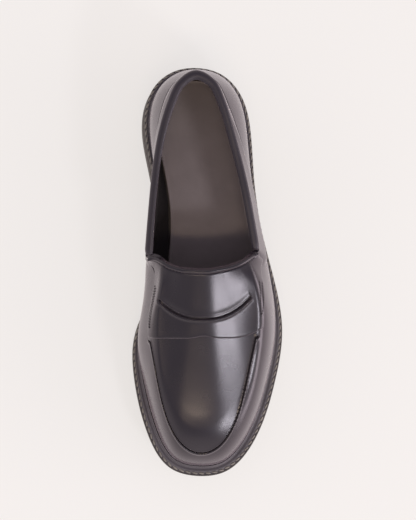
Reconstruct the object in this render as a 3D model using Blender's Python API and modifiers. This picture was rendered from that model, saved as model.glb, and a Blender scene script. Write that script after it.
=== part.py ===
"""Chunky lug sole loafer, left foot, standing empty on its sole.

Metres, +Z up. The toe points to -Y, the heel to +Y, and +X is the outer (lateral) side.
The origin lies on the floor at the middle of the last.

The shoe is worked out from its last. Three loops run round it, all by one number called
turn: 0 is the back of the heel, 0.5 the tip of the toe, and the outer side comes first.
The sole's outline is the outer loop, the feather line (where upper meets welt) lies inside
it, and the collar loop is the mouth of the shoe. At each turn one rib climbs from the
feather line to the collar loop, and the ribs together are the outside of the upper.
"""

import bmesh
import bpy
import numpy as np

# Driving sizes of the last
LENGTH = 0.295
BALL_WIDTH = 0.1094
QUARTER_RISE = 0.060
HEEL_HEIGHT = 0.042
FOREFOOT_HEIGHT = 0.028
TOE_SPRING = 0.007

# Leather
UPPER_WALL = 0.0022
SADDLE_WALL = 0.0016
SEAM_RIDGE_HEIGHT = 0.0011
SEAM_RIDGE_WIDTH = 0.0042
BINDING_RADIUS = 0.0023
COLLAR_SEAM_DROP = 0.015

# Layers of the bottom
WELT_WIDTH = 0.0082
WELT_THICKNESS = 0.0040
WELT_RIB_HEIGHT = 0.0016
WELT_RIB_WIDTH = 0.0017
WELT_GROOVE_DEPTH = 0.0007
MIDSOLE_THICKNESS = 0.0055
INSOLE_THICKNESS = 0.0040
OUTSOLE_SEAT_THICKNESS = 0.0085
SIDE_STEP = 0.0009
HEEL_FLARE = 0.0010
EDGE_ROUND = 0.0006

# Tread
LUG_DEPTH = 0.0060
LUG_PITCH = 0.0172
LUG_GAP = 0.0052
LUG_REACH = 0.0200
LUG_PROUD = 0.0004
LUG_ROOT = 0.0012
CENTRE_LUG_GAP = 0.0050

# Saddle and slit
SADDLE_PEAK = 0.0018
SADDLE_SWEEP = 0.0075
SLIT_LENGTH = 0.0630
SLIT_SAG = 0.0138
SLIT_TILT = 0.0013
SLIT_WIDTH = 0.0016

CLEARANCE = 0.0003

# Places along the last, as shares of LENGTH from its middle, the heel positive
SEAT_FRONT = 0.20
HEEL_BREAST = 0.20
WAIST_END = 0.18
TREAD_BACK = 0.035
BALL_LINE = -0.12
SPRING_START = -0.27
APRON_TOP = -0.132
APRON_TOE = -0.436
SADDLE_EDGE = -0.1555
SLIT_LINE = -0.1065

# Places across the last, as shares of BALL_WIDTH, the outer side positive
VAMP_CENTRE = -0.055
SLIT_CENTRE = -0.047
APRON_HALF_WIDTH = 0.347
SADDLE_HALF_WIDTH = 0.379

# Height of the saddle's two sides above the welt, as a share of QUARTER_RISE
SADDLE_SIDE = 0.667

# Shape of the seams: how the apron narrows to its toe, and how the saddle and slit bow
APRON_TAPER = 0.42
APRON_TOE_POWER = 5.5
PEAK_SPREAD = 0.16
SWEEP_START = 0.45
SLIT_BOW_POWER = 2.4

# How finely the loops, ribs and seams are sampled
COLUMNS = 72
SIDE_ROWS = 5
VAMP_ROWS = 3
SADDLE_ROWS = 7
BINDING_POINTS = 48
SLIT_POINTS = 13
RIB_SAMPLES = 220
LOOP_SAMPLES = 1440

# The sole's outline: across as a share of BALL_WIDTH, along as a share of LENGTH
OUTLINE = [
    (-0.070, 0.4965),
    (0.090, 0.481),
    (0.220, 0.429),
    (0.281, 0.345),
    (0.303, 0.236),
    (0.352, 0.110),
    (0.464, -0.040),
    (0.508, -0.144),
    (0.459, -0.275),
    (0.322, -0.416),
    (0.118, -0.494),
    (-0.064, -0.5035),
    (-0.243, -0.485),
    (-0.400, -0.397),
    (-0.485, -0.264),
    (-0.486, -0.172),
    (-0.402, -0.080),
    (-0.340, 0.040),
    (-0.334, 0.150),
    (-0.387, 0.270),
    (-0.420, 0.372),
    (-0.352, 0.451),
    (-0.219, 0.4885),
]

# The last at each turn. welt: the feather line's distance inside the sole's outline, as a
# share of WELT_WIDTH. bulge: how far the wall swells past the feather line, as a share of
# QUARTER_RISE. fullness: how squarely the wall turns over, 1 for a straight lean. shoulder:
# how far in the wall becomes the top, as a share of BALL_WIDTH. start: the height at which
# the top would meet the wall, as a share of the rib's rise.
LAST = [
    # turn, welt, bulge, fullness, shoulder, start
    (0.00, 0.76, 0.052, 1.90, 0.36, 1.00),
    (0.06, 0.76, 0.052, 1.90, 0.36, 1.00),
    (0.12, 0.74, 0.050, 1.90, 0.36, 1.00),
    (0.19, 0.66, 0.062, 1.75, 0.36, 1.00),
    (0.25, 0.74, 0.050, 1.90, 0.36, 0.97),
    (0.31, 0.90, 0.020, 2.10, 0.34, 0.80),
    (0.37, 0.93, 0.012, 2.15, 0.30, 0.62),
    (0.43, 0.97, 0.010, 2.20, 0.28, 0.50),
    (0.50, 1.00, 0.010, 2.20, 0.28, 0.46),
    (0.57, 0.97, 0.010, 2.20, 0.28, 0.50),
    (0.63, 0.92, 0.015, 2.15, 0.30, 0.61),
    (0.69, 0.86, 0.105, 2.05, 0.34, 0.80),
    (0.74, 0.78, 0.180, 1.60, 0.36, 0.97),
    (0.80, 0.76, 0.120, 1.20, 0.36, 1.00),
    (0.88, 0.74, 0.065, 1.50, 0.36, 1.00),
    (0.94, 0.76, 0.052, 1.80, 0.36, 1.00),
]

# The mouth of the shoe: across as a share of BALL_WIDTH, along as a share of LENGTH, and
# rise above the welt as a share of QUARTER_RISE
COLLAR = [
    # turn, across, along, rise
    (0.000, -0.114, 0.451, 0.98),
    (0.040, -0.022, 0.432, 0.97),
    (0.080, 0.044, 0.381, 0.94),
    (0.120, 0.104, 0.312, 0.88),
    (0.160, 0.169, 0.228, 0.82),
    (0.200, 0.227, 0.130, 0.79),
    (0.236, 0.263, 0.052, 0.81),
    (0.262, 0.222, 0.036, 0.88),
    (0.320, 0.142, 0.021, 0.97),
    (0.400, 0.045, 0.011, 1.02),
    (0.500, -0.064, 0.006, 1.04),
    (0.600, -0.173, 0.008, 1.02),
    (0.680, -0.262, 0.016, 0.96),
    (0.735, -0.345, 0.034, 0.87),
    (0.762, -0.402, 0.040, 0.81),
    (0.800, -0.384, 0.128, 0.80),
    (0.840, -0.360, 0.222, 0.83),
    (0.880, -0.325, 0.304, 0.89),
    (0.920, -0.268, 0.378, 0.94),
    (0.960, -0.202, 0.430, 0.97),
]

# The collar's two corners and the toe, as turns, and how the regions between them blend
OUTER_CORNER = 0.236
INNER_CORNER = 0.762
TOE_TURN = 0.5
SADDLE_CORNER = 0.011
BINDING_SETBACK = 0.005
FAN_START = 0.015
FAN_BLEND = 0.040
RIDGE_REACH = 0.190
RIDGE_BLEND = 0.030
TRIM_BLEND = 0.012

# How the top of the vamp rises towards the throat: 0 for a straight climb
TOP_CURVE = 0.40

# Brings the swell curve w * (1 - w) ** 2 to a peak of 1
SWELL_PEAK = 6.75


# Smooth curves through the tables


def smooth_step(x):
    x = np.clip(x, 0.0, 1.0)
    return x * x * (3.0 - 2.0 * x)


def knot_steps(knots, values, period):
    gaps = np.diff(np.append(knots, knots[0] + period))
    rates = np.diff(np.vstack([values, values[:1]]), axis=0) / gaps[:, None]
    return gaps, rates


def even_slopes(knots, values, period):
    """Slopes of the periodic cubic spline whose curvature is continuous."""
    gaps, rates = knot_steps(knots, values, period)
    count = len(knots)
    matrix = np.zeros((count, count))
    right = np.zeros_like(values)
    for i in range(count):
        before, after = gaps[i - 1], gaps[i]
        matrix[i, i - 1] += after
        matrix[i, i] += 2.0 * (before + after)
        matrix[i, (i + 1) % count] += before
        right[i] = 3.0 * (after * rates[i - 1] + before * rates[i])
    return np.linalg.solve(matrix, right)


def calm_slopes(knots, values, period):
    """Slopes that never overshoot: zero wherever the values turn back."""
    _, rates = knot_steps(knots, values, period)
    before, after = np.roll(rates, 1, axis=0), rates
    agree = before * after > 0.0
    safe_before = np.where(agree, before, 1.0)
    safe_after = np.where(agree, after, 1.0)
    return np.where(agree, 2.0 / (1.0 / safe_before + 1.0 / safe_after), 0.0)


def periodic_curve(knots, values, at, slopes_of, period=1.0):
    """The values of a closed Hermite curve at the given places."""
    knots = np.asarray(knots, float)
    values = np.asarray(values, float)
    slopes = slopes_of(knots, values, period)
    at = np.mod(np.asarray(at, float) - knots[0], period) + knots[0]
    ends = np.append(knots, knots[0] + period)
    i = np.clip(np.searchsorted(ends, at, side="right") - 1, 0, len(knots) - 1)
    j = (i + 1) % len(knots)
    gap = (ends[i + 1] - ends[i])[:, None]
    t = (at - ends[i])[:, None] / gap
    return (
        (2 * t**3 - 3 * t**2 + 1) * values[i]
        + (t**3 - 2 * t**2 + t) * gap * slopes[i]
        + (3 * t**2 - 2 * t**3) * values[j]
        + (t**3 - t**2) * gap * slopes[j]
    )


def path_travel(points):
    """Distance travelled along a row of points, from its start."""
    steps = np.linalg.norm(np.diff(points, axis=0), axis=1)
    return np.concatenate([[0.0], np.cumsum(steps)])


# The sole's outline


def fine_outline():
    """The outline as closely set points with their turns, which go by length on each side."""
    points = np.array(OUTLINE) * (BALL_WIDTH, LENGTH)
    travel = path_travel(np.vstack([points, points[:1]]))
    at = np.linspace(0.0, travel[-1], LOOP_SAMPLES, endpoint=False)
    loop = periodic_curve(travel[:-1], points, at, even_slopes, travel[-1])
    loop = np.roll(loop, -int(np.argmax(loop[:, 1])), axis=0)
    toe = int(np.argmin(loop[:, 1]))
    closed = np.vstack([loop, loop[:1]])
    travel = path_travel(closed)
    outer = 0.5 * travel / travel[toe]
    inner = 0.5 + 0.5 * (travel - travel[toe]) / (travel[-1] - travel[toe])
    return np.where(travel <= travel[toe], outer, inner), closed, toe


OUTLINE_TURNS, OUTLINE_POINTS, OUTLINE_TOE = fine_outline()


def on_outline(turns):
    turns = np.mod(turns, 1.0)
    return np.stack([np.interp(turns, OUTLINE_TURNS, OUTLINE_POINTS[:, k]) for k in (0, 1)], axis=-1)


def outline(turns, inset=0.0):
    """Points of the sole's outline, moved inwards by inset, and the outward directions."""
    turns = np.asarray(turns, float)
    step = 0.002
    along = on_outline(turns + step) - on_outline(turns - step)
    along /= np.linalg.norm(along, axis=-1, keepdims=True)
    outward = np.stack([-along[:, 1], along[:, 0]], axis=-1)
    return on_outline(turns) - outward * np.reshape(inset, (-1, 1)), outward


def outline_sides(y):
    """Where a line across the shoe meets the outline, inner side first."""
    outer_side, inner_side = OUTLINE_POINTS[: OUTLINE_TOE + 1], OUTLINE_POINTS[OUTLINE_TOE:]
    outer = np.interp(y, outer_side[::-1, 1], outer_side[::-1, 0])
    inner = np.interp(y, inner_side[:, 1], inner_side[:, 0])
    return inner, outer


def turns_at(y):
    """The turns at which the outline passes a place along the shoe, inner side first."""
    outer = np.interp(-y, -OUTLINE_POINTS[: OUTLINE_TOE + 1, 1], OUTLINE_TURNS[: OUTLINE_TOE + 1])
    inner = np.interp(y, OUTLINE_POINTS[OUTLINE_TOE:, 1], OUTLINE_TURNS[OUTLINE_TOE:])
    return float(inner), float(outer)


# Heights along the shoe


def toe_lift(y):
    """How far toe spring lifts the tread off the floor."""
    run = LENGTH * (0.5 + SPRING_START)
    return TOE_SPRING * np.clip((LENGTH * SPRING_START - y) / run, 0.0, None) ** 2


def welt_top(y):
    rise = smooth_step((y - LENGTH * BALL_LINE) / (LENGTH * (SEAT_FRONT - BALL_LINE)))
    return FOREFOOT_HEIGHT + (HEEL_HEIGHT - FOREFOOT_HEIGHT) * rise + toe_lift(y)


def midsole_top(y):
    return welt_top(y) - WELT_THICKNESS


def outsole_top(y):
    return midsole_top(y) - MIDSOLE_THICKNESS - CLEARANCE


def seat_underside():
    """The flat under the outsole's seat, on which the heel block is built."""
    return HEEL_HEIGHT - WELT_THICKNESS - MIDSOLE_THICKNESS - CLEARANCE - OUTSOLE_SEAT_THICKNESS


def outsole_underside(y):
    """The floor of the tread in the forefoot, rising through the waist to the seat."""
    start, end = LENGTH * TREAD_BACK, LENGTH * WAIST_END
    rise = smooth_step((y - start) / (end - start))
    return LUG_DEPTH + toe_lift(y) + (seat_underside() - LUG_DEPTH) * rise


def heel_floor(y):
    return np.zeros_like(y)


def heel_roof(y):
    return np.full_like(y, LUG_DEPTH)


# The ribs of the last


def last_at(turns):
    rows = np.array(LAST)
    return periodic_curve(rows[:, 0], rows[:, 1:], turns, even_slopes).T


def feather(turns):
    """The feather line, where the upper's outside meets the midsole, and outward directions."""
    plan, outward = outline(turns, last_at(turns)[0] * WELT_WIDTH)
    return np.column_stack([plan, midsole_top(plan[:, 1]) + CLEARANCE]), outward


def collar(turns):
    """The mouth of the shoe, as points."""
    rows = np.array(COLLAR)
    shares = periodic_curve(rows[:, 0], rows[:, 1:], turns, calm_slopes)
    x, y = shares[:, 0] * BALL_WIDTH, shares[:, 1] * LENGTH
    return np.column_stack([x, y, welt_top(y) + shares[:, 2] * QUARTER_RISE])


def ribs(turns):
    """For each turn, the rib as points from feather line to collar, closest at the foot."""
    _, bulge, fullness, shoulder, start = last_at(turns)
    foot, outward = feather(turns)
    top = collar(turns)
    run = np.linalg.norm(top[:, :2] - foot[:, :2], axis=1)
    rise = (top[:, 2] - foot[:, 2])[:, None]
    share = np.linspace(0.0, 1.0, RIB_SAMPLES)[None, :] ** 2.6
    power = fullness[:, None]
    reach = shoulder[:, None] * BALL_WIDTH

    def wall(distance):
        left = 1.0 - np.clip(distance / reach, 0.0, 1.0)
        return (1.0 - left**power) ** (1.0 / power)

    climbed = wall(share * run[:, None]) / wall(run[:, None])
    first = start[:, None] * rise
    crown = first + (rise - first) * ((1.0 - TOP_CURVE) * share + TOP_CURVE * share**2)
    swell = bulge[:, None] * QUARTER_RISE * SWELL_PEAK * climbed * (1.0 - climbed) ** 2
    plan = foot[:, None, :2] + share[..., None] * (top - foot)[:, None, :2]
    plan = plan + swell[..., None] * outward[:, None, :]
    return np.dstack([plan, foot[:, 2:3] + crown * climbed])


def points_on(rib, travel, places):
    """Points of one rib at the given distances along it."""
    return np.column_stack([np.interp(places, travel, rib[:, k]) for k in range(3)])


def across_vamp(rib):
    return rib[:, 0] / BALL_WIDTH - VAMP_CENTRE


def on_top(rib):
    """Whether each point of a rib is on top of the foot, between the saddle's two sides."""
    high = rib[:, 2] > welt_top(rib[:, 1]) + SADDLE_SIDE * QUARTER_RISE
    return high & (across_vamp(rib) < SADDLE_HALF_WIDTH)


def in_apron(rib):
    """Whether each point of a rib lies inside the apron seam or the saddle's sides."""
    y, top, toe = rib[:, 1], LENGTH * APRON_TOP, LENGTH * APRON_TOE
    down = np.clip((top - y) / (top - toe), 0.0, 1.0)
    half = APRON_HALF_WIDTH * (1.0 - APRON_TAPER * down) * np.sqrt(1.0 - down**APRON_TOE_POWER)
    return np.where(y < top, (np.abs(across_vamp(rib)) < half) & (y > toe), on_top(rib))


def in_saddle(rib):
    """Whether each point lies under the saddle, whose edge towards the toe is a shallow bow."""
    across = across_vamp(rib) / SADDLE_HALF_WIDTH
    peak = SADDLE_PEAK * np.exp(-((across / PEAK_SPREAD) ** 2))
    sweep = SADDLE_SWEEP * (np.clip(across - SWEEP_START, 0.0, None) / (1.0 - SWEEP_START)) ** 2
    return (rib[:, 1] > LENGTH * SADDLE_EDGE + peak + sweep) & on_top(rib)


def place_of_edge(rib, travel, inside):
    """Distance up the rib at which it enters, for good, a region of the vamp."""
    outside = np.nonzero(~inside(rib))[0]
    last_outside = outside[-1] if len(outside) else 0
    return travel[min(last_outside + 1, len(travel) - 1)]


# The upper's grid, shared by the upper and the saddle


def fan_share(turn):
    """1 where ribs cross the apron or the saddle, 0 along the quarters."""
    toe_side = min(turn - OUTER_CORNER, INNER_CORNER - turn)
    return float(smooth_step((toe_side - FAN_START) / FAN_BLEND))


def ridge_share(turns):
    """1 along the apron seam, 0 under the saddle and on the quarters."""
    return smooth_step((RIDGE_REACH - np.abs(turns - TOE_TURN)) / RIDGE_BLEND)


def top_trim(turn):
    """How far below the collar loop the upper's edge stops, to leave the binding its room."""
    quarter_side = max(OUTER_CORNER - turn, turn - INNER_CORNER)
    return (BINDING_RADIUS + CLEARANCE) * float(smooth_step(quarter_side / TRIM_BLEND + 1.0))


def rib_stations(turn, rib, travel):
    """Distances up one rib: foot to apron seam, seam to saddle edge, saddle edge to top."""
    whole = travel[-1]
    fan = fan_share(turn)
    saddle = fan * place_of_edge(rib, travel, in_saddle) + (1.0 - fan) * (whole - COLLAR_SEAM_DROP / 2.0)
    seam = fan * place_of_edge(rib, travel, in_apron) + (1.0 - fan) * (whole - COLLAR_SEAM_DROP)
    seam = max(min(seam, saddle - SEAM_RIDGE_WIDTH), 2.0 * SEAM_RIDGE_WIDTH)
    half = SEAM_RIDGE_WIDTH / 2.0
    upright = UPPER_WALL / 2.0
    side = upright + (seam - half - upright) * np.linspace(0.0, 1.0, SIDE_ROWS) ** 1.15
    vamp = np.linspace(seam + half, saddle, VAMP_ROWS)[:-1]
    top = np.linspace(saddle, whole - top_trim(turn), SADDLE_ROWS)
    return np.concatenate([[0.0], side, [seam], vamp, top])


def outward_normals(grid):
    """Unit normals of a grid of points, columns round the shoe and rows up the ribs."""
    around = np.roll(grid, -1, axis=0) - np.roll(grid, 1, axis=0)
    normals = np.cross(np.gradient(grid, axis=1), around)
    return normals / np.linalg.norm(normals, axis=2, keepdims=True)


def upper_grid(turns):
    """The upper's outside, with the apron seam raised as a soft ridge."""
    grid = []
    for turn, rib in zip(turns, ribs(turns)):
        travel = path_travel(rib)
        grid.append(points_on(rib, travel, rib_stations(turn, rib, travel)))
    grid = np.array(grid)
    seam_row = SIDE_ROWS + 1
    ridge = ridge_share(turns) * SEAM_RIDGE_HEIGHT
    grid[:, seam_row] += outward_normals(grid)[:, seam_row] * ridge[:, None]
    return grid


# Building meshes


def material(name, colour, roughness):
    made = bpy.data.materials.new(name)
    made.use_nodes = True
    shader = made.node_tree.nodes["Principled BSDF"]
    shader.inputs["Base Color"].default_value = (*colour, 1.0)
    shader.inputs["Roughness"].default_value = roughness
    shader.inputs["Metallic"].default_value = 0.0
    return made


def add_object(name, data, finish, collection):
    made = bpy.data.objects.new(name, data)
    made.data.materials.append(finish)
    collection.objects.link(made)
    return made


def closed_mesh(name, points, faces):
    """A mesh whose faces point out of the body that they close."""
    mesh = bpy.data.meshes.new(name)
    mesh.from_pydata([tuple(p) for p in points], [], faces)
    work = bmesh.new()
    work.from_mesh(mesh)
    bmesh.ops.recalc_face_normals(work, faces=work.faces)
    work.to_mesh(mesh)
    work.free()
    return mesh


def grid_faces(columns, rows, closed_columns, closed_rows=False):
    """Four-sided faces over a grid of points, wound to face outwards on the upper."""
    faces = []
    for i in range(columns if closed_columns else columns - 1):
        for j in range(rows if closed_rows else rows - 1):
            i2, j2 = (i + 1) % columns, (j + 1) % rows
            faces.append((i * rows + j, i * rows + j2, i2 * rows + j2, i2 * rows + j))
    return faces


def leather_sheet(name, grid, closed, thickness, finish, collection):
    """A sheet of leather: its outside is the grid, and its wall lies inside it.

    Every face is split along the same diagonal, so that sheets on one grid lie parallel.
    """
    columns, rows = grid.shape[:2]
    mesh = bpy.data.meshes.new(name)
    faces = []
    for a, b, c, d in grid_faces(columns, rows, closed):
        faces += [(a, b, c), (a, c, d)]
    mesh.from_pydata([tuple(p) for p in grid.reshape(-1, 3)], [], faces)
    mesh.shade_smooth()
    made = add_object(name, mesh, finish, collection)
    wall = made.modifiers.new("wall", "SOLIDIFY")
    wall.thickness = thickness
    wall.offset = -1.0
    wall.use_even_offset = True
    return made


def at_height(plan, height):
    return np.column_stack([plan, height])


def slab_mesh(name, loops):
    """A closed slab from loops of points, top loop first, its caps bridged side to side."""
    count = len(loops[0])
    faces = []
    for level in range(len(loops) - 1):
        a, b = level * count, (level + 1) * count
        for i in range(count):
            j = (i + 1) % count
            faces.append((a + i, a + j, b + j, b + i))
    for base in (0, (len(loops) - 1) * count):
        pairs = [(base + k, base + (count - k) % count) for k in range(count // 2 + 1)]
        for (a, b), (c, d) in zip(pairs, pairs[1:]):
            faces.append(tuple(dict.fromkeys([a, c, d, b])))
    return closed_mesh(name, np.vstack(loops), faces)


def block(near, far, tops, floors):
    """A block between two edges with as many points each, as points and faces."""
    plan = np.vstack([near, far[::-1]])
    count = len(plan)
    faces = [(i, (i + 1) % count, count + (i + 1) % count, count + i) for i in range(count)]
    for base in (0, count):
        for k in range(len(near) - 1):
            faces.append((base + k, base + k + 1, base + count - 2 - k, base + count - 1 - k))
    return np.vstack([at_height(plan, tops(plan[:, 1])), at_height(plan, floors(plan[:, 1]))]), faces


def add_cutter(name, blocks, cutters):
    """One object from several blocks that don't touch each other."""
    points, faces = [], []
    start = 0
    for block_points, block_faces in blocks:
        points.append(block_points)
        faces.extend(tuple(start + i for i in face) for face in block_faces)
        start += len(block_points)
    made = bpy.data.objects.new(name, closed_mesh(name, np.vstack(points), faces))
    made.hide_render = True
    made.display_type = "WIRE"
    cutters.objects.link(made)
    return made


def add_boolean(target, other, operation):
    step = target.modifiers.new(operation.lower(), "BOOLEAN")
    step.operation = operation
    step.object = other
    step.solver = "EXACT"


# Leather pieces


def column_turns():
    return np.arange(COLUMNS) / COLUMNS


def make_upper(finish, collection):
    leather_sheet("upper", upper_grid(column_turns()), True, UPPER_WALL, finish, collection)


def slit_cutter(cutters):
    """A bar bowed towards the toe, tall enough to pass through the saddle anywhere."""
    share = np.linspace(-1.0, 1.0, SLIT_POINTS)
    x = SLIT_CENTRE * BALL_WIDTH + share * SLIT_LENGTH / 2.0
    y = LENGTH * SLIT_LINE + SLIT_SAG * np.abs(share) ** SLIT_BOW_POWER + SLIT_TILT * share
    across = np.column_stack([-np.gradient(y, x), np.ones(SLIT_POINTS)])
    across *= SLIT_WIDTH / 2.0 / np.linalg.norm(across, axis=1, keepdims=True)
    line = np.column_stack([x, y])

    def over(y):
        return welt_top(y) + 2.0 * QUARTER_RISE

    return add_cutter("slit_cutter", [block(line - across, line + across, over, welt_top)], cutters)


def make_saddle(finish, collection, cutters):
    """The saddle over the vamp: a sheet just outside the upper, on the upper's own ribs."""
    turns = column_turns()
    grid = upper_grid(turns)
    held = (turns > OUTER_CORNER + SADDLE_CORNER) & (turns < INNER_CORNER - SADDLE_CORNER)
    grid = (grid + outward_normals(grid) * (SADDLE_WALL + CLEARANCE))[held, -SADDLE_ROWS:]
    made = leather_sheet("saddle", grid, False, SADDLE_WALL, finish, collection)
    add_boolean(made, slit_cutter(cutters), "DIFFERENCE")


def make_binding(finish, collection):
    """The rolled binding along the collar, from the outer throat corner round the heel."""
    line = bpy.data.curves.new("topline_binding", "CURVE")
    line.dimensions = "3D"
    line.bevel_depth = BINDING_RADIUS
    line.bevel_resolution = 2
    line.use_fill_caps = True
    run = line.splines.new("POLY")
    run.points.add(BINDING_POINTS - 1)
    first, last = OUTER_CORNER - BINDING_SETBACK, INNER_CORNER - 1.0 + BINDING_SETBACK
    places = collar(np.linspace(first, last, BINDING_POINTS))
    for point, place in zip(run.points, places):
        point.co = (*place, 1.0)
    add_object("topline_binding", line, finish, collection)


def make_insole(finish, collection):
    turns = column_turns()
    inset = last_at(turns)[0] * WELT_WIDTH + UPPER_WALL + 2.0 * CLEARANCE
    levels = [
        # height as a share of the thickness, further inset
        (1.0, 2.0 * EDGE_ROUND),
        (0.7, 0.0),
        (0.0, 0.0),
    ]
    loops = []
    for share, extra in levels:
        plan, _ = outline(turns, inset + extra)
        height = CLEARANCE + (INSOLE_THICKNESS - CLEARANCE) * share
        loops.append(at_height(plan, midsole_top(plan[:, 1]) + height))
    add_object("insole", slab_mesh("insole", loops), finish, collection)


# Welt, midsole, outsole and heel


def wall_inset(turns):
    """How far inside the sole's outline the upper's wall keeps, as high as the welt reaches."""
    rib = ribs(turns)
    plan, outward = outline(turns)
    inside = np.einsum("uk,usk->us", outward, plan[:, None, :] - rib[..., :2])
    beside_welt = rib[..., 2] < welt_top(rib[..., 1]) + WELT_RIB_HEIGHT
    return np.where(beside_welt, inside, np.inf).min(axis=1)


def make_welt(finish, collection):
    """The storm welt: a flat strip with a stitch groove and a rib raised against the upper."""
    turns = column_turns()
    inner = wall_inset(turns) - 1.5 * CLEARANCE
    flat = inner - np.minimum(WELT_RIB_WIDTH, inner / 2.0)
    crest = WELT_THICKNESS + WELT_RIB_HEIGHT
    profile = [
        # inset from the outline, height above the midsole
        (0.0 * inner + EDGE_ROUND, CLEARANCE),
        (0.0 * inner, WELT_THICKNESS * 0.5),
        (0.0 * inner + EDGE_ROUND, WELT_THICKNESS),
        (flat * 0.45, WELT_THICKNESS),
        (flat * 0.70, WELT_THICKNESS - WELT_GROOVE_DEPTH),
        (flat, WELT_THICKNESS),
        (flat + (inner - flat) * 0.35, crest),
        (inner, crest - EDGE_ROUND),
        (inner, CLEARANCE),
    ]
    loops = []
    for inset, height in profile:
        plan, _ = outline(turns, inset)
        loops.append(at_height(plan, midsole_top(plan[:, 1]) + height))
    grid = np.array(loops).transpose(1, 0, 2)
    faces = grid_faces(COLUMNS, len(profile), True, True)
    add_object("welt", closed_mesh("welt", grid.reshape(-1, 3), faces), finish, collection)


def make_midsole(finish, collection):
    turns = column_turns()
    loops = []
    for share, inset in ((0.0, 2.0 * EDGE_ROUND), (0.5, EDGE_ROUND), (1.0, 2.0 * EDGE_ROUND)):
        plan, _ = outline(turns, inset)
        loops.append(at_height(plan, midsole_top(plan[:, 1]) - MIDSOLE_THICKNESS * share))
    add_object("midsole", slab_mesh("midsole", loops), finish, collection)


def rim_lugs(first_turn, last_turn, roof, floor, flare):
    """Lugs side by side along the rim, from one turn to another, at the lug pitch."""
    turns = np.linspace(first_turn, last_turn, LOOP_SAMPLES)
    travel = path_travel(on_outline(turns))
    count = max(1, round((travel[-1] + LUG_GAP) / LUG_PITCH))
    pitch = (travel[-1] + LUG_GAP) / count
    made = []
    for k in range(count):
        start, end = k * pitch, (k + 1) * pitch - LUG_GAP
        places = np.interp([start, (start + end) / 2.0, end], travel, turns)
        outer, _ = outline(places, -LUG_PROUD - flare)
        inner, _ = outline(places, LUG_REACH)
        made.append(block(outer, inner, roof, floor))
    return made


def centre_lugs(front, back, roof, floor):
    """Bars across the middle of the tread, between the rim lugs, each bent towards the toe."""
    count = max(1, round((back - front) / LUG_PITCH))
    pitch = (back - front) / count
    side = LUG_REACH + CENTRE_LUG_GAP
    made = []
    for k in range(count):
        low = front + k * pitch + LUG_GAP / 2.0
        high = front + (k + 1) * pitch - LUG_GAP / 2.0
        left = max(outline_sides(low)[0], outline_sides(high)[0]) + side
        right = min(outline_sides(low)[1], outline_sides(high)[1]) - side
        if right - left < LUG_GAP:
            continue
        bend = np.array([0.0, LUG_GAP * 0.3, 0.0])
        across = np.linspace(left, right, 3)
        near, far = np.column_stack([across, low - bend]), np.column_stack([across, high - bend])
        made.append(block(near, far, roof, floor))
    return made


def rooted(roof):
    """The level that lugs reach up to, a little way into the slab above them."""
    return lambda y: roof(y) + LUG_ROOT


def make_outsole(finish, collection, cutters):
    """The outsole: a stepped slab the length of the shoe, with the forefoot's lugs."""
    turns = column_turns()
    levels = [
        # height as a share of the slab, inset
        (1.00, EDGE_ROUND),
        (0.84, 0.0),
        (0.50, 0.0),
        (0.46, SIDE_STEP),
        (0.00, SIDE_STEP),
    ]
    loops = []
    for share, inset in levels:
        plan, _ = outline(turns, inset)
        low, high = outsole_underside(plan[:, 1]), outsole_top(plan[:, 1])
        loops.append(at_height(plan, low + (high - low) * share))
    made = add_object("outsole", slab_mesh("outsole", loops), finish, collection)
    back = LENGTH * TREAD_BACK
    front = -LENGTH / 2.0 + LUG_REACH + CENTRE_LUG_GAP
    inner_end, outer_end = turns_at(back)
    lugs = rim_lugs(outer_end, inner_end, rooted(outsole_underside), toe_lift, 0.0)
    lugs += centre_lugs(front, back, rooted(outsole_underside), toe_lift)
    add_boolean(made, add_cutter("forefoot_lugs", lugs, cutters), "UNION")


def make_heel(finish, collection, cutters):
    """The heel block under the seat, straight across its breast, with its own lugs."""
    breast = LENGTH * HEEL_BREAST
    inner_end, outer_end = turns_at(breast)
    side = np.linspace(0.0, 1.0, 15)[1:]
    turns = np.concatenate([[0.0], outer_end * side, 1.0 + (inner_end - 1.0) * side[::-1]])
    levels = [
        # height as a share of the block, inset, share of the flare
        (1.00, SIDE_STEP, 0.0),
        (0.62, SIDE_STEP, 0.0),
        (0.56, 0.0, 0.3),
        (0.00, 0.0, 1.0),
    ]
    top = seat_underside() - CLEARANCE
    loops = []
    for share, inset, flare in levels:
        plan, _ = outline(turns, inset - HEEL_FLARE * flare)
        loops.append(at_height(plan, np.full(len(plan), LUG_DEPTH + (top - LUG_DEPTH) * share)))
    made = add_object("heel", slab_mesh("heel", loops), finish, collection)
    back = LENGTH / 2.0 - LUG_REACH - CENTRE_LUG_GAP
    lugs = rim_lugs(inner_end - 1.0, outer_end, rooted(heel_roof), heel_floor, HEEL_FLARE)
    lugs += centre_lugs(breast, back, rooted(heel_roof), heel_floor)
    add_boolean(made, add_cutter("heel_lugs", lugs, cutters), "UNION")


def new_collection(name):
    made = bpy.data.collections.new(name)
    bpy.context.scene.collection.children.link(made)
    return made


def main():
    for thing in list(bpy.data.objects):
        bpy.data.objects.remove(thing, do_unlink=True)
    shoe = new_collection("lug_sole_loafer")
    cutters = new_collection("cutters")
    leather = material("upper_leather", (0.030, 0.026, 0.034), 0.32)
    lining = material("insole_leather", (0.060, 0.047, 0.043), 0.60)
    rand = material("welt_leather", (0.060, 0.047, 0.040), 0.62)
    rubber = material("sole_rubber", (0.095, 0.078, 0.068), 0.70)
    make_upper(leather, shoe)
    make_saddle(leather, shoe, cutters)
    make_binding(leather, shoe)
    make_insole(lining, shoe)
    make_welt(rand, shoe)
    make_midsole(rand, shoe)
    make_outsole(rubber, shoe, cutters)
    make_heel(rubber, shoe, cutters)


main()
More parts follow.
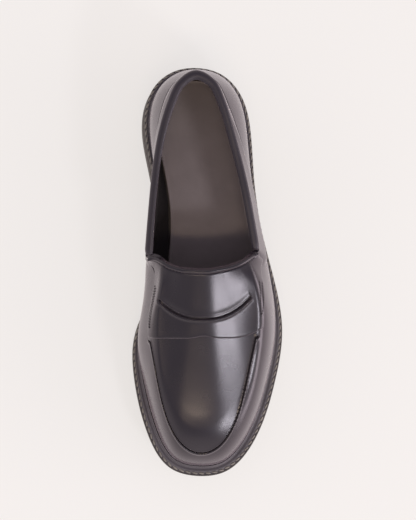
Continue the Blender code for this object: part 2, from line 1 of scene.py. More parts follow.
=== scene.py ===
"""Looks of the lug sole loafer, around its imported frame: leather, seams, stitches, sole, light.

Metres, +Z up, toe to -Y, outer side to +X. The shoe's last is worked out here from the same
sizes and tables as its solids, far more finely, and the seams, edges and threads lie on it.
"""

import math

import bmesh
import bpy
import numpy as np
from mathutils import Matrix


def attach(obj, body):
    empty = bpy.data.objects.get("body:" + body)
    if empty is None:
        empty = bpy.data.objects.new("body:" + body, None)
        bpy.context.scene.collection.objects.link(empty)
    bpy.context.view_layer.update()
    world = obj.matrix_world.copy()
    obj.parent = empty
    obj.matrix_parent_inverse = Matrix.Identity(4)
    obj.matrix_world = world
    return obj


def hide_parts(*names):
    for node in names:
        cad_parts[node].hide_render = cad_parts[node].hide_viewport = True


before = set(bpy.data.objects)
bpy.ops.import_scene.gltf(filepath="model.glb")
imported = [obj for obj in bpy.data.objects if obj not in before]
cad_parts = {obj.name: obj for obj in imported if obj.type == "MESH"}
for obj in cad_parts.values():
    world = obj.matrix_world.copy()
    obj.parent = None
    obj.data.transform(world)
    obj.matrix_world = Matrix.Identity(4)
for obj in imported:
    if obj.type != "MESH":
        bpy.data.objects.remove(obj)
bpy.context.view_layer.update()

MM = 0.001

# Driving sizes of the last
LENGTH = 0.295
BALL_WIDTH = 0.1094
QUARTER_RISE = 0.060
HEEL_HEIGHT = 0.042
FOREFOOT_HEIGHT = 0.028
TOE_SPRING = 0.007

# Leather
UPPER_WALL = 0.0022
SADDLE_WALL = 0.0016

# Layers of the bottom
WELT_WIDTH = 0.0082
WELT_THICKNESS = 0.0040
WELT_RIB_HEIGHT = 0.0016
WELT_RIB_WIDTH = 0.0017
MIDSOLE_THICKNESS = 0.0055
OUTSOLE_SEAT_THICKNESS = 0.0085
SIDE_STEP = 0.0009
HEEL_FLARE = 0.0010

# Tread
LUG_DEPTH = 0.0060
LUG_PITCH = 0.0172
LUG_GAP = 0.0052
LUG_REACH = 0.0200
LUG_INSET = 0.0003
LUG_ROOT = 0.0012
CENTRE_LUG_GAP = 0.0050

# Saddle and slit
SADDLE_PEAK = 0.0018
SADDLE_SWEEP = 0.0075
SLIT_LENGTH = 0.0630
SLIT_SAG = 0.0138
SLIT_TILT = 0.0013

CLEARANCE = 0.0003

# Places along the last, as shares of LENGTH from its middle, the heel positive
SEAT_FRONT = 0.20
HEEL_BREAST = 0.20
WAIST_END = 0.18
TREAD_BACK = 0.035
BALL_LINE = -0.12
SPRING_START = -0.27
APRON_TOP = -0.132
APRON_TOE = -0.436
SADDLE_EDGE = -0.1555
SLIT_LINE = -0.1065

# Places across the last, as shares of BALL_WIDTH, the outer side positive
VAMP_CENTRE = -0.055
SLIT_CENTRE = -0.047
APRON_HALF_WIDTH = 0.347
SADDLE_HALF_WIDTH = 0.379

# Height of the saddle's two sides above the welt, as a share of QUARTER_RISE
SADDLE_SIDE = 0.667

# Shape of the seams: how the apron narrows to its toe, and how the saddle and slit bow
APRON_TAPER = 0.42
APRON_TOE_POWER = 5.5
PEAK_SPREAD = 0.16
SWEEP_START = 0.45
SLIT_BOW_POWER = 2.4

# How finely the loops, ribs and seams are sampled
COLUMNS = 420
SOLE_COLUMNS = 360
HEEL_COLUMNS = 71
SADDLE_COLUMNS = 260
SIDE_ROWS = 32
VAMP_ROWS = 9
TOP_ROWS = 20
SADDLE_ROWS = 15
RIB_SAMPLES = 400
LOOP_SAMPLES = 1440

# The sole's outline: across as a share of BALL_WIDTH, along as a share of LENGTH
OUTLINE = [
    (-0.070, 0.4965), (0.090, 0.481), (0.220, 0.429), (0.281, 0.345),
    (0.303, 0.236), (0.352, 0.110), (0.464, -0.040), (0.508, -0.144),
    (0.459, -0.275), (0.322, -0.416), (0.118, -0.494), (-0.064, -0.5035),
    (-0.243, -0.485), (-0.400, -0.397), (-0.485, -0.264), (-0.486, -0.172),
    (-0.402, -0.080), (-0.340, 0.040), (-0.334, 0.150), (-0.387, 0.270),
    (-0.420, 0.372), (-0.352, 0.451), (-0.219, 0.4885),
]

# The last at each turn. welt: the feather line's distance inside the sole's outline, as a
# share of WELT_WIDTH. bulge: how far the wall swells past the feather line, as a share of
# QUARTER_RISE. fullness: how squarely the wall turns over, 1 for a straight lean. shoulder:
# how far in the wall becomes the top, as a share of BALL_WIDTH. start: the height at which
# the top would meet the wall, as a share of the rib's rise.
LAST = [
    # turn, welt, bulge, fullness, shoulder, start
    (0.00, 0.76, 0.052, 1.90, 0.36, 1.00),
    (0.06, 0.76, 0.052, 1.90, 0.36, 1.00),
    (0.12, 0.74, 0.050, 1.90, 0.36, 1.00),
    (0.19, 0.66, 0.062, 1.75, 0.36, 1.00),
    (0.25, 0.74, 0.050, 1.90, 0.36, 0.97),
    (0.31, 0.90, 0.020, 2.10, 0.34, 0.80),
    (0.37, 0.93, 0.012, 2.15, 0.30, 0.62),
    (0.43, 0.97, 0.010, 2.20, 0.28, 0.50),
    (0.50, 1.00, 0.010, 2.20, 0.28, 0.46),
    (0.57, 0.97, 0.010, 2.20, 0.28, 0.50),
    (0.63, 0.92, 0.015, 2.15, 0.30, 0.61),
    (0.69, 0.86, 0.105, 2.05, 0.34, 0.80),
    (0.74, 0.78, 0.180, 1.60, 0.36, 0.97),
    (0.80, 0.76, 0.120, 1.20, 0.36, 1.00),
    (0.88, 0.74, 0.065, 1.50, 0.36, 1.00),
    (0.94, 0.76, 0.052, 1.80, 0.36, 1.00),
]

# The mouth of the shoe: across as a share of BALL_WIDTH, along as a share of LENGTH, and
# rise above the welt as a share of QUARTER_RISE
COLLAR = [
    # turn, across, along, rise
    (0.000, -0.114, 0.451, 0.98),
    (0.040, -0.022, 0.432, 0.97),
    (0.080, 0.044, 0.381, 0.94),
    (0.120, 0.104, 0.312, 0.88),
    (0.160, 0.169, 0.228, 0.82),
    (0.200, 0.227, 0.130, 0.79),
    (0.236, 0.263, 0.052, 0.81),
    (0.262, 0.222, 0.036, 0.88),
    (0.320, 0.142, 0.021, 0.97),
    (0.400, 0.045, 0.011, 1.02),
    (0.500, -0.064, 0.006, 1.04),
    (0.600, -0.173, 0.008, 1.02),
    (0.680, -0.262, 0.016, 0.96),
    (0.735, -0.345, 0.034, 0.87),
    (0.762, -0.402, 0.040, 0.81),
    (0.800, -0.384, 0.128, 0.80),
    (0.840, -0.360, 0.222, 0.83),
    (0.880, -0.325, 0.304, 0.89),
    (0.920, -0.268, 0.378, 0.94),
    (0.960, -0.202, 0.430, 0.97),
]

# The collar's two corners, as turns, and how the regions between them blend
OUTER_CORNER = 0.236
INNER_CORNER = 0.762
FAN_START = 0.015
FAN_BLEND = 0.040
TRIM_BLEND = 0.012

# How the top of the vamp rises towards the throat: 0 for a straight climb
TOP_CURVE = 0.40

# Brings the swell curve w * (1 - w) ** 2 to a peak of 1
SWELL_PEAK = 6.75


# Smooth curves through the tables


def unit(rows):
    """Directions of length 1, one for each row."""
    return rows / np.linalg.norm(rows, axis=-1, keepdims=True)


def smooth_step(x):
    x = np.clip(x, 0.0, 1.0)
    return x * x * (3.0 - 2.0 * x)


def knot_steps(knots, values, period):
    gaps = np.diff(np.append(knots, knots[0] + period))
    rates = np.diff(np.vstack([values, values[:1]]), axis=0) / gaps[:, None]
    return gaps, rates


def even_slopes(knots, values, period):
    """Slopes of the periodic cubic spline whose curvature is continuous."""
    after, rates = knot_steps(knots, values, period)
    after, before = after[:, None], np.roll(after, 1)[:, None]
    same = np.eye(len(knots))
    matrix = 2.0 * (before + after) * same
    matrix += after * np.roll(same, -1, axis=1) + before * np.roll(same, 1, axis=1)
    return np.linalg.solve(matrix, 3.0 * (after * np.roll(rates, 1, axis=0) + before * rates))


def calm_slopes(knots, values, period):
    """Slopes that never overshoot: zero wherever the values turn back."""
    _, rates = knot_steps(knots, values, period)
    before, after = np.roll(rates, 1, axis=0), rates
    agree = before * after > 0.0
    safe_before = np.where(agree, before, 1.0)
    safe_after = np.where(agree, after, 1.0)
    return np.where(agree, 2.0 / (1.0 / safe_before + 1.0 / safe_after), 0.0)


def periodic_curve(knots, values, at, slopes_of, period=1.0):
    """The values of a closed Hermite curve at the given places."""
    knots = np.asarray(knots, float)
    values = np.asarray(values, float)
    slopes = slopes_of(knots, values, period)
    at = np.mod(np.asarray(at, float) - knots[0], period) + knots[0]
    ends = np.append(knots, knots[0] + period)
    i = np.clip(np.searchsorted(ends, at, side="right") - 1, 0, len(knots) - 1)
    j = (i + 1) % len(knots)
    gap = (ends[i + 1] - ends[i])[:, None]
    t = (at - ends[i])[:, None] / gap
    return (
        (2 * t**3 - 3 * t**2 + 1) * values[i]
        + (t**3 - 2 * t**2 + t) * gap * slopes[i]
        + (3 * t**2 - 2 * t**3) * values[j]
        + (t**3 - t**2) * gap * slopes[j]
    )


def path_travel(points):
    """Distance travelled along a row of points, from its start."""
    steps = np.linalg.norm(np.diff(points, axis=0), axis=1)
    return np.concatenate([[0.0], np.cumsum(steps)])


# The sole's outline


def fine_outline():
    """The outline as closely set points with their turns, which go by length on each side."""
    points = np.array(OUTLINE) * (BALL_WIDTH, LENGTH)
    travel = path_travel(np.vstack([points, points[:1]]))
    at = np.linspace(0.0, travel[-1], LOOP_SAMPLES, endpoint=False)
    loop = periodic_curve(travel[:-1], points, at, even_slopes, travel[-1])
    loop = np.roll(loop, -int(np.argmax(loop[:, 1])), axis=0)
    toe = int(np.argmin(loop[:, 1]))
    closed = np.vstack([loop, loop[:1]])
    travel = path_travel(closed)
    outer = 0.5 * travel / travel[toe]
    inner = 0.5 + 0.5 * (travel - travel[toe]) / (travel[-1] - travel[toe])
    return np.where(travel <= travel[toe], outer, inner), closed, toe


OUTLINE_TURNS, OUTLINE_POINTS, OUTLINE_TOE = fine_outline()


def on_outline(turns):
    turns = np.mod(turns, 1.0)
    return np.stack([np.interp(turns, OUTLINE_TURNS, OUTLINE_POINTS[:, k]) for k in (0, 1)], axis=-1)


def outline(turns, inset=0.0):
    """Points of the sole's outline, moved inwards by inset, and the outward directions."""
    turns = np.asarray(turns, float)
    step = 0.002
    along = unit(on_outline(turns + step) - on_outline(turns - step))
    outward = np.stack([-along[:, 1], along[:, 0]], axis=-1)
    return on_outline(turns) - outward * np.reshape(inset, (-1, 1)), outward


def turns_at(y):
    """The turns at which the outline passes a place along the shoe, inner side first."""
    outer = np.interp(-y, -OUTLINE_POINTS[: OUTLINE_TOE + 1, 1], OUTLINE_TURNS[: OUTLINE_TOE + 1])
    inner = np.interp(y, OUTLINE_POINTS[OUTLINE_TOE:, 1], OUTLINE_TURNS[OUTLINE_TOE:])
    return float(inner), float(outer)


def outline_sides(y):
    """Where a line across the shoe meets the outline, inner side first."""
    return on_outline(np.array(turns_at(y)))[:, 0]


# Heights along the shoe


def toe_lift(y):
    """How far toe spring lifts the tread off the floor."""
    run = LENGTH * (0.5 + SPRING_START)
    return TOE_SPRING * np.clip((LENGTH * SPRING_START - y) / run, 0.0, None) ** 2


def welt_top(y):
    rise = smooth_step((y - LENGTH * BALL_LINE) / (LENGTH * (SEAT_FRONT - BALL_LINE)))
    return FOREFOOT_HEIGHT + (HEEL_HEIGHT - FOREFOOT_HEIGHT) * rise + toe_lift(y)


def midsole_top(y):
    return welt_top(y) - WELT_THICKNESS


def outsole_top(y):
    return midsole_top(y) - MIDSOLE_THICKNESS - CLEARANCE


def seat_underside():
    """The flat under the outsole's seat, on which the heel block is built."""
    return HEEL_HEIGHT - WELT_THICKNESS - MIDSOLE_THICKNESS - CLEARANCE - OUTSOLE_SEAT_THICKNESS


def outsole_underside(y):
    """The floor of the tread in the forefoot, rising through the waist to the seat."""
    start, end = LENGTH * TREAD_BACK, LENGTH * WAIST_END
    rise = smooth_step((y - start) / (end - start))
    return LUG_DEPTH + toe_lift(y) + (seat_underside() - LUG_DEPTH) * rise


def heel_roof(y):
    return np.full_like(y, LUG_DEPTH)


# The ribs of the last


def last_at(turns):
    rows = np.array(LAST)
    return periodic_curve(rows[:, 0], rows[:, 1:], turns, even_slopes).T


def feather(turns):
    """The feather line, where the upper's outside meets the midsole, and outward directions."""
    plan, outward = outline(turns, last_at(turns)[0] * WELT_WIDTH)
    return np.column_stack([plan, midsole_top(plan[:, 1]) + CLEARANCE]), outward


def collar(turns):
    """The mouth of the shoe, as points."""
    rows = np.array(COLLAR)
    shares = periodic_curve(rows[:, 0], rows[:, 1:], turns, calm_slopes)
    x, y = shares[:, 0] * BALL_WIDTH, shares[:, 1] * LENGTH
    return np.column_stack([x, y, welt_top(y) + shares[:, 2] * QUARTER_RISE])


def ribs(turns):
    """For each turn, the rib as points from feather line to collar, closest at the foot."""
    _, bulge, fullness, shoulder, start = last_at(turns)
    foot, outward = feather(turns)
    top = collar(turns)
    run = np.linalg.norm(top[:, :2] - foot[:, :2], axis=1)
    rise = (top[:, 2] - foot[:, 2])[:, None]
    share = np.linspace(0.0, 1.0, RIB_SAMPLES)[None, :] ** 2.6
    power = fullness[:, None]
    reach = shoulder[:, None] * BALL_WIDTH

    def wall(distance):
        left = 1.0 - np.clip(distance / reach, 0.0, 1.0)
        return (1.0 - left**power) ** (1.0 / power)

    climbed = wall(share * run[:, None]) / wall(run[:, None])
    first = start[:, None] * rise
    crown = first + (rise - first) * ((1.0 - TOP_CURVE) * share + TOP_CURVE * share**2)
    swell = bulge[:, None] * QUARTER_RISE * SWELL_PEAK * climbed * (1.0 - climbed) ** 2
    plan = foot[:, None, :2] + share[..., None] * (top - foot)[:, None, :2]
    plan = plan + swell[..., None] * outward[:, None, :]
    return np.dstack([plan, foot[:, 2:3] + crown * climbed])


def points_on(rib, travel, places):
    """Points of one rib at the given distances along it."""
    return np.column_stack([np.interp(places, travel, rib[:, k]) for k in range(3)])


def across_vamp(rib):
    return rib[:, 0] / BALL_WIDTH - VAMP_CENTRE


def outward_normals(grid, closed):
    """Unit normals of a grid of points, columns round the shoe and rows up the ribs."""
    around = np.gradient(grid, axis=0)
    if closed:
        around = np.roll(grid, -1, axis=0) - np.roll(grid, 1, axis=0)
    return unit(np.cross(np.gradient(grid, axis=1), around))


def closed_mesh(name, points, faces, merge=0.0):
    """A mesh whose faces point out of the body that they close."""
    mesh = bpy.data.meshes.new(name)
    mesh.from_pydata([tuple(p) for p in points], [], faces)
    work = bmesh.new()
    work.from_mesh(mesh)
    if merge:
        bmesh.ops.remove_doubles(work, verts=work.verts, dist=merge)
    bmesh.ops.recalc_face_normals(work, faces=work.faces)
    work.to_mesh(mesh)
    work.free()
    return mesh


def grid_faces(columns, rows, closed_columns, closed_rows=False):
    """Four-sided faces over a grid of points, wound to face outwards on the upper."""
    faces = []
    for i in range(columns if closed_columns else columns - 1):
        for j in range(rows if closed_rows else rows - 1):
            i2, j2 = (i + 1) % columns, (j + 1) % rows
            faces.append((i * rows + j, i * rows + j2, i2 * rows + j2, i2 * rows + j))
    return faces


def at_height(plan, height):
    return np.column_stack([plan, height])


def slab(loops):
    """Points and faces of a closed slab: loops, top first, its caps bridged side to side."""
    count = len(loops[0])
    faces = []
    for level in range(len(loops) - 1):
        a, b = level * count, (level + 1) * count
        for i in range(count):
            j = (i + 1) % count
            faces.append((a + i, a + j, b + j, b + i))
    for base in (0, (len(loops) - 1) * count):
        pairs = [(base + k, base + (count - k) % count) for k in range(count // 2 + 1)]
        for (a, b), (c, d) in zip(pairs, pairs[1:]):
            faces.append(tuple(dict.fromkeys([a, c, d, b])))
    return np.vstack(loops), faces


def lug(near, far, roof, floor):
    """A lug between two edges with as many points each, rooted a little way into its roof."""
    plan = np.vstack([near, far[::-1]])
    y = plan[:, 1]
    return slab([at_height(plan, roof(y) + LUG_ROOT), at_height(plan, floor(y))])


def wall_inset(turns):
    """How far inside the sole's outline the upper's wall keeps, as high as the welt reaches."""
    rib = ribs(turns)
    plan, outward = outline(turns)
    inside = np.einsum("uk,usk->us", outward, plan[:, None, :] - rib[..., :2])
    beside_welt = rib[..., 2] < welt_top(rib[..., 1]) + WELT_RIB_HEIGHT
    return np.where(beside_welt, inside, np.inf).min(axis=1)


def rim_lugs(ends, roof, floor, flare):
    """Lugs side by side along the rim, from one turn to another, at the lug pitch."""
    turns = np.linspace(*ends, LOOP_SAMPLES)
    travel = path_travel(on_outline(turns))
    count = max(1, round((travel[-1] + LUG_GAP) / LUG_PITCH))
    pitch = (travel[-1] + LUG_GAP) / count
    made = []
    for k in range(count):
        start, end = k * pitch, (k + 1) * pitch - LUG_GAP
        places = np.interp([start, (start + end) / 2.0, end], travel, turns)
        outer, _ = outline(places, LUG_INSET - flare)
        inner, _ = outline(places, LUG_REACH)
        made.append(lug(outer, inner, roof, floor))
    return made


def centre_lugs(run, roof, floor):
    """Bars across the middle of the tread, between the rim lugs, each bent towards the toe."""
    front, back = run
    count = max(1, round((back - front) / LUG_PITCH))
    pitch = (back - front) / count
    side = LUG_REACH + CENTRE_LUG_GAP
    made = []
    for k in range(count):
        low = front + k * pitch + LUG_GAP / 2.0
        high = front + (k + 1) * pitch - LUG_GAP / 2.0
        left = max(outline_sides(low)[0], outline_sides(high)[0]) + side
        right = min(outline_sides(low)[1], outline_sides(high)[1]) - side
        if right - left < LUG_GAP:
            continue
        bend = np.array([0.0, LUG_GAP * 0.3, 0.0])
        across = np.linspace(left, right, 3)
        near, far = np.column_stack([across, low - bend]), np.column_stack([across, high - bend])
        made.append(lug(near, far, roof, floor))
    return made


# Seams on the last


def top_depth(rib):
    """How far each point of a rib lies inside the saddle's two sides, negative outside."""
    high = rib[:, 2] - welt_top(rib[:, 1]) - SADDLE_SIDE * QUARTER_RISE
    return np.minimum(high, (SADDLE_HALF_WIDTH - across_vamp(rib)) * BALL_WIDTH)


def apron_depth(rib):
    """Positive inside the apron seam or, further back, inside the saddle's sides."""
    y, top, toe = rib[:, 1], LENGTH * APRON_TOP, LENGTH * APRON_TOE
    down = np.clip((top - y) / (top - toe), 0.0, None)
    half = APRON_HALF_WIDTH * (1.0 - APRON_TAPER * down)
    ahead = half**2 * (1.0 - down**APRON_TOE_POWER) - across_vamp(rib) ** 2
    return np.where(y < top, ahead * BALL_WIDTH, top_depth(rib))


def saddle_depth(rib):
    """Positive under the saddle, whose edge towards the toe is a shallow bow."""
    across = across_vamp(rib) / SADDLE_HALF_WIDTH
    peak = SADDLE_PEAK * np.exp(-((across / PEAK_SPREAD) ** 2))
    sweep = SADDLE_SWEEP * (np.clip(across - SWEEP_START, 0.0, None) / (1.0 - SWEEP_START)) ** 2
    return np.minimum(rib[:, 1] - LENGTH * SADDLE_EDGE - peak - sweep, top_depth(rib))


def place_of_edge(rib, travel, depth_of):
    """Distance up the rib at which it enters, for good, a region of the vamp."""
    depth = depth_of(rib)
    outside = np.nonzero(depth < 0.0)[0]
    k = outside[-1] if len(outside) else 0
    if k >= len(travel) - 1:
        return travel[-1]
    share = np.clip(-depth[k] / (depth[k + 1] - depth[k]), 0.0, 1.0)
    return travel[k] + (travel[k + 1] - travel[k]) * share


def toe_side(turns):
    """How far a turn lies on the toe's side of the two throat corners."""
    return np.minimum(turns - OUTER_CORNER, INNER_CORNER - turns)


def softened(values, reach):
    """A closed row of values, each averaged with its neighbours."""
    weights = np.hanning(2 * reach + 3)[1:-1]
    padded = np.concatenate([values[-reach:], values, values[:reach]])
    return np.convolve(padded, weights / weights.sum(), mode="valid")


# How far below the collar's loop its seam runs: turn from the heel, drop in millimetres
COLLAR_SEAM = [
    (-0.240, 26.0), (-0.123, 24.0), (-0.108, 20.5), (-0.089, 18.5), (-0.065, 16.5),
    (-0.035, 15.0), (0.000, 14.5), (0.031, 12.5), (0.055, 10.5), (0.078, 11.0),
    (0.100, 14.5), (0.122, 20.5), (0.143, 25.5), (0.165, 29.0), (0.240, 31.0),
]

# How near the feather line and the saddle's edge the apron seam may come
SEAM_LOW = 9.0 * MM
SEAM_ROOM = 4.5 * MM


def from_heel(turns):
    """Turns counted from the heel, the inner side's below zero."""
    return (turns + 0.5) % 1.0 - 0.5


def seam_drop(turns):
    places, drops = np.array(COLLAR_SEAM).T
    return np.interp(from_heel(turns), places, drops) * MM


class Last:
    """The ribs of the last with the places of the seams along them."""

    def __init__(self, turns, closed):
        self.turns = turns
        self.closed = closed
        self.ribs = ribs(turns)
        self.travels = [path_travel(rib) for rib in self.ribs]
        self.whole = np.array([travel[-1] for travel in self.travels])
        fan = smooth_step((toe_side(turns) - FAN_START) / FAN_BLEND)
        drop = seam_drop(turns)
        saddle = fan * self.edge(saddle_depth) + (1.0 - fan) * (self.whole - drop / 2.0)
        apron = fan * self.edge(apron_depth) + (1.0 - fan) * (self.whole - drop)
        if closed:
            saddle, apron = softened(saddle, 2), softened(apron, 2)
        self.saddle = saddle
        self.seam = np.clip(apron, SEAM_LOW, saddle - SEAM_ROOM)

    def edge(self, depth_of):
        """Distances up the ribs at which they enter a region of the vamp."""
        return np.array([place_of_edge(*row, depth_of) for row in zip(self.ribs, self.travels)])

    def at(self, places):
        """Points at distances up every rib: one row of distances for each rib."""
        return np.array([points_on(*row) for row in zip(self.ribs, self.travels, places)])

    def line(self, places, lift, step=0.5 * MM):
        """A line over the ribs, one point for each, lifted off the leather, with its normals."""
        grid = self.at(np.stack([places - step, places, places + step], axis=1))
        normals = outward_normals(grid, self.closed)[:, 1]
        return grid[:, 1] + normals * lift, normals


# Where the apron and collar seams go under the saddle, as turns, and how quickly
APRON_OUTER_END = 0.353
APRON_INNER_END = 0.667
APRON_FADE = 0.006
COLLAR_EARLY = 0.002
COLLAR_FADE = 0.016

# Relief beside the seams and edges, in millimetres: height, distance from the seam, width
APRON_BUMPS = [(0.50, -1.50, 0.95), (0.25, 1.30, 0.70), (-0.85, 0.00, 0.50)]
COLLAR_BUMPS = [(-0.60, 0.00, 0.42)]
SLIT_BUMPS = [(0.55, -1.85, 0.90), (-0.25, 2.15, 1.60)]
THROAT_BUMPS = [(0.45, 1.20, 1.10), (-0.45, 2.85, 0.40)]

# How a cut edge is rounded, in millimetres: how far it sinks, and over what distance
FRONT_ROUND = (0.70, 0.45)
SIDE_ROUND = (0.60, 0.50)
THROAT_ROUND = (0.80, 0.35)
SLIT_ROUND = (0.50, 0.25)

# The collar's padding above its seam: a small step, then a soft rise
COLLAR_STEP = 0.25 * MM
COLLAR_STEP_REACH = 0.9 * MM
COLLAR_PAD = 2.6 * MM
COLLAR_PAD_REACH = 11.0 * MM

# The leather's slight rise over the toe: middle, spread, height, and its fade from the seam
TOE_PUFF = (-13.0 * MM, -117.0 * MM)
TOE_PUFF_SPREAD = (27.0 * MM, 17.0 * MM)
TOE_PUFF_HEIGHT = 1.1 * MM
TOE_PUFF_FADE = 26.0 * MM

# Rows of the upper's mesh beside a seam, and the turned edge that the roll covers
SEAM_ROWS = np.array([-4.6, -3.6, -2.9, -2.3, -1.9, -1.5, -1.15, -0.85, -0.6, -0.4, -0.2, 0.0,
                      0.2, 0.4, 0.6, 0.85, 1.15, 1.6, 2.2, 2.9]) * MM
TURNED_EDGE = 2.0 * MM


def apron_share(turns):
    """1 along the apron seam, 0 under the saddle and on the quarters."""
    outer = smooth_step((turns - APRON_OUTER_END) / APRON_FADE)
    inner = smooth_step((APRON_INNER_END - turns) / APRON_FADE)
    return outer * inner


def collar_share(turns):
    """1 along the collar seam of the quarters, 0 where it has gone under the saddle."""
    return 1.0 - smooth_step((toe_side(turns) + COLLAR_EARLY) / COLLAR_FADE)


def bump_at(x, place, width):
    return np.exp(-(((x - place) / width) ** 2))


def bumps_at(s, bumps):
    """Height of the leather at a distance s from a seam."""
    return sum(height * MM * bump_at(s, place * MM, width * MM) for height, place, width in bumps)


def rounding(distance, sizes):
    """How far the leather sinks at a distance from its cut edge."""
    return sizes[0] * MM * np.exp(-distance / (sizes[1] * MM))


def collar_relief(s):
    """The collar band is padded above its seam."""
    pad = COLLAR_PAD * smooth_step((s + 0.2 * MM) / COLLAR_PAD_REACH)
    return pad + COLLAR_STEP * smooth_step(s / COLLAR_STEP_REACH) + bumps_at(s, COLLAR_BUMPS)


def upper_places(last):
    """Distances up each rib of the upper's rows, closest beside the seam."""
    places = []
    quarter = smooth_step(1.0 - toe_side(last.turns) / TRIM_BLEND)
    tops = last.whole - TURNED_EDGE * quarter
    for seam, saddle, top in zip(last.seam, last.saddle, tops):
        side = np.linspace(0.0, seam + SEAM_ROWS[0], SIDE_ROWS + 1)[:-1]
        vamp = np.linspace(seam + SEAM_ROWS[-1], saddle, VAMP_ROWS + 1)[1:-1]
        rows = np.linspace(saddle, top, TOP_ROWS)
        places.append(np.concatenate([side, seam + SEAM_ROWS, vamp, rows]))
    return np.array(places)


def smoothed_normals(grid):
    """Normals of a closed grid, averaged round the shoe so that seams cast no ripple."""
    normals = outward_normals(grid, True)
    for _ in range(3):
        normals = unit(normals + np.roll(normals, 1, axis=0) + np.roll(normals, -1, axis=0))
    return normals


def upper_surface(last):
    """The upper's outside with its seams in relief."""
    places = upper_places(last)
    grid = last.at(places)
    s = places - last.seam[:, None]
    relief = bumps_at(s, APRON_BUMPS) * apron_share(last.turns)[:, None]
    relief += collar_relief(s) * collar_share(last.turns)[:, None]
    puff = TOE_PUFF_HEIGHT * smooth_step(s / TOE_PUFF_FADE)
    for k in (0, 1):
        puff = puff * bump_at(grid[..., k], TOE_PUFF[k], TOE_PUFF_SPREAD[k])
    return grid + smoothed_normals(grid) * (relief + puff)[..., None]


# Meshes


def new_object(name, mesh, finishes=()):
    made = bpy.data.objects.new(name, mesh)
    for finish in finishes:
        mesh.materials.append(finish)
    bpy.context.scene.collection.objects.link(made)
    return made


def dress(made, node=None, sharp=None):
    """Settles and shades a piece, which rides with the shoe and may stand for a solid."""
    graph = bpy.context.evaluated_depsgraph_get()
    mesh = bpy.data.meshes.new_from_object(made.evaluated_get(graph))
    made.modifiers.clear()
    made.data = mesh
    mesh.shade_smooth()
    if sharp:
        mesh.set_sharp_from_angle(angle=math.radians(sharp))
    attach(made, "root")
    if node:
        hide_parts(node)


def subdivide(made):
    smooth = made.modifiers.new("smooth", "SUBSURF")
    smooth.levels = smooth.render_levels = 1


def skin_object(name, outside, inside, kept, finishes):
    """A sheet between two grids, with holes where its faces aren't kept."""
    columns, rows = outside.shape[:2]
    count = columns * rows
    skin = [face for face, held in zip(grid_faces(columns, rows, False), kept.ravel()) if held]
    edges = {(face[k], face[(k + 1) % 4]) for face in skin for k in range(4)}
    faces = skin + [tuple(count + corner for corner in face[::-1]) for face in skin]
    faces += [(b, a, count + a, count + b) for a, b in sorted(edges) if (b, a) not in edges]
    points = np.concatenate([outside.reshape(-1, 3), inside.reshape(-1, 3)])
    mesh = closed_mesh(name, points, faces)
    for face in mesh.polygons:
        face.material_index = int(min(face.vertices) >= count)
    return new_object(name, mesh, finishes)


def tubes(name, runs, sides, finish, sharp=None):
    """Closed tubes: runs hold centres, the section's two directions and its half sizes."""
    points, faces = [], []
    around = np.arange(sides) * 2.0 * math.pi / sides
    for centres, across, up, wide, tall in runs:
        start = len(points)
        for p, c, u, w, t in zip(centres, across, up, wide, tall):
            points += [p + c * w * math.cos(turn) + u * t * math.sin(turn) for turn in around]
        far = (len(centres) - 1) * sides
        ends = [tuple(range(sides)), tuple(range(far, far + sides))]
        for face in grid_faces(len(centres), sides, False, True) + ends:
            faces.append(tuple(start + corner for corner in face))
    mesh = closed_mesh(name, points, faces, 0.01 * MM)
    dress(new_object(name, mesh, [finish]), sharp=sharp)


def cord(name, runs, finish):
    """Cords along rows of points: runs hold points, normals, half widths and half heights."""
    framed = [(path, unit(np.cross(np.gradient(path, axis=0), normals)), normals, wide, tall)
              for path, normals, wide, tall in runs]
    tubes(name, framed, 10, finish, 70.0)


def thread(name, runs, size, finish):
    """Stitches as beads of a size in millimetres: runs hold places, directions, normals."""
    length, wide, tall = np.array(size) * MM / 2.0
    lean = np.linspace(0.0, math.pi, 7)
    beads = []
    for places, along, up in runs:
        across = unit(np.cross(along, up))
        for p, a, c, u in zip(places, along, across, np.cross(across, along)):
            centres = p + a * np.cos(lean)[:, None] * length
            sides = [[direction] * len(lean) for direction in (c, u)]
            beads.append((centres, *sides, wide * np.sin(lean), tall * np.sin(lean)))
    tubes(name, beads, 8, finish)


def stitch_run(path, normals, pitch):
    """Stitches at an even pitch along a row of points: places, directions and normals."""
    travel = path_travel(path)
    count = max(2, round(travel[-1] / pitch))
    at = (np.arange(count) + 0.5) * travel[-1] / count
    step = 0.2 * MM
    along = unit(points_on(path, travel, at + step) - points_on(path, travel, at - step))
    return points_on(path, travel, at), along, points_on(normals, travel, at)


def softened_line(values):
    """A row of values with its corners eased, its two ends held."""
    for _ in range(12):
        middle = (values[:-2] + 2.0 * values[1:-1] + values[2:]) / 4.0
        values = np.concatenate([values[:1], middle, values[-1:]])
    return values


def line_on_last(marks, lift, count=25):
    """A row of points, with normals, through marks given as a turn and a drop from the top."""
    even = np.linspace(0.0, len(marks) - 1.0, count)
    turns, drops = (softened_line(np.interp(even, np.arange(len(marks)), row))
                    for row in np.array(marks).T)
    points = []
    for shift in (-0.0008, 0.0, 0.0008):
        rib = ribs(turns + shift)
        travels = [path_travel(line) for line in rib]
        tops = np.array([line[-1] for line in travels])
        rows = (tops - drops * MM)[:, None] + np.array([-0.6, 0.0, 0.6]) * MM
        points.append([points_on(*row) for row in zip(rib, travels, rows)])
    points = np.array(points)
    normals = unit(np.cross(points[1, :, 2] - points[1, :, 0], points[2, :, 1] - points[0, :, 1]))
    return points[1, :, 1] + normals * lift, normals


# Leather pieces


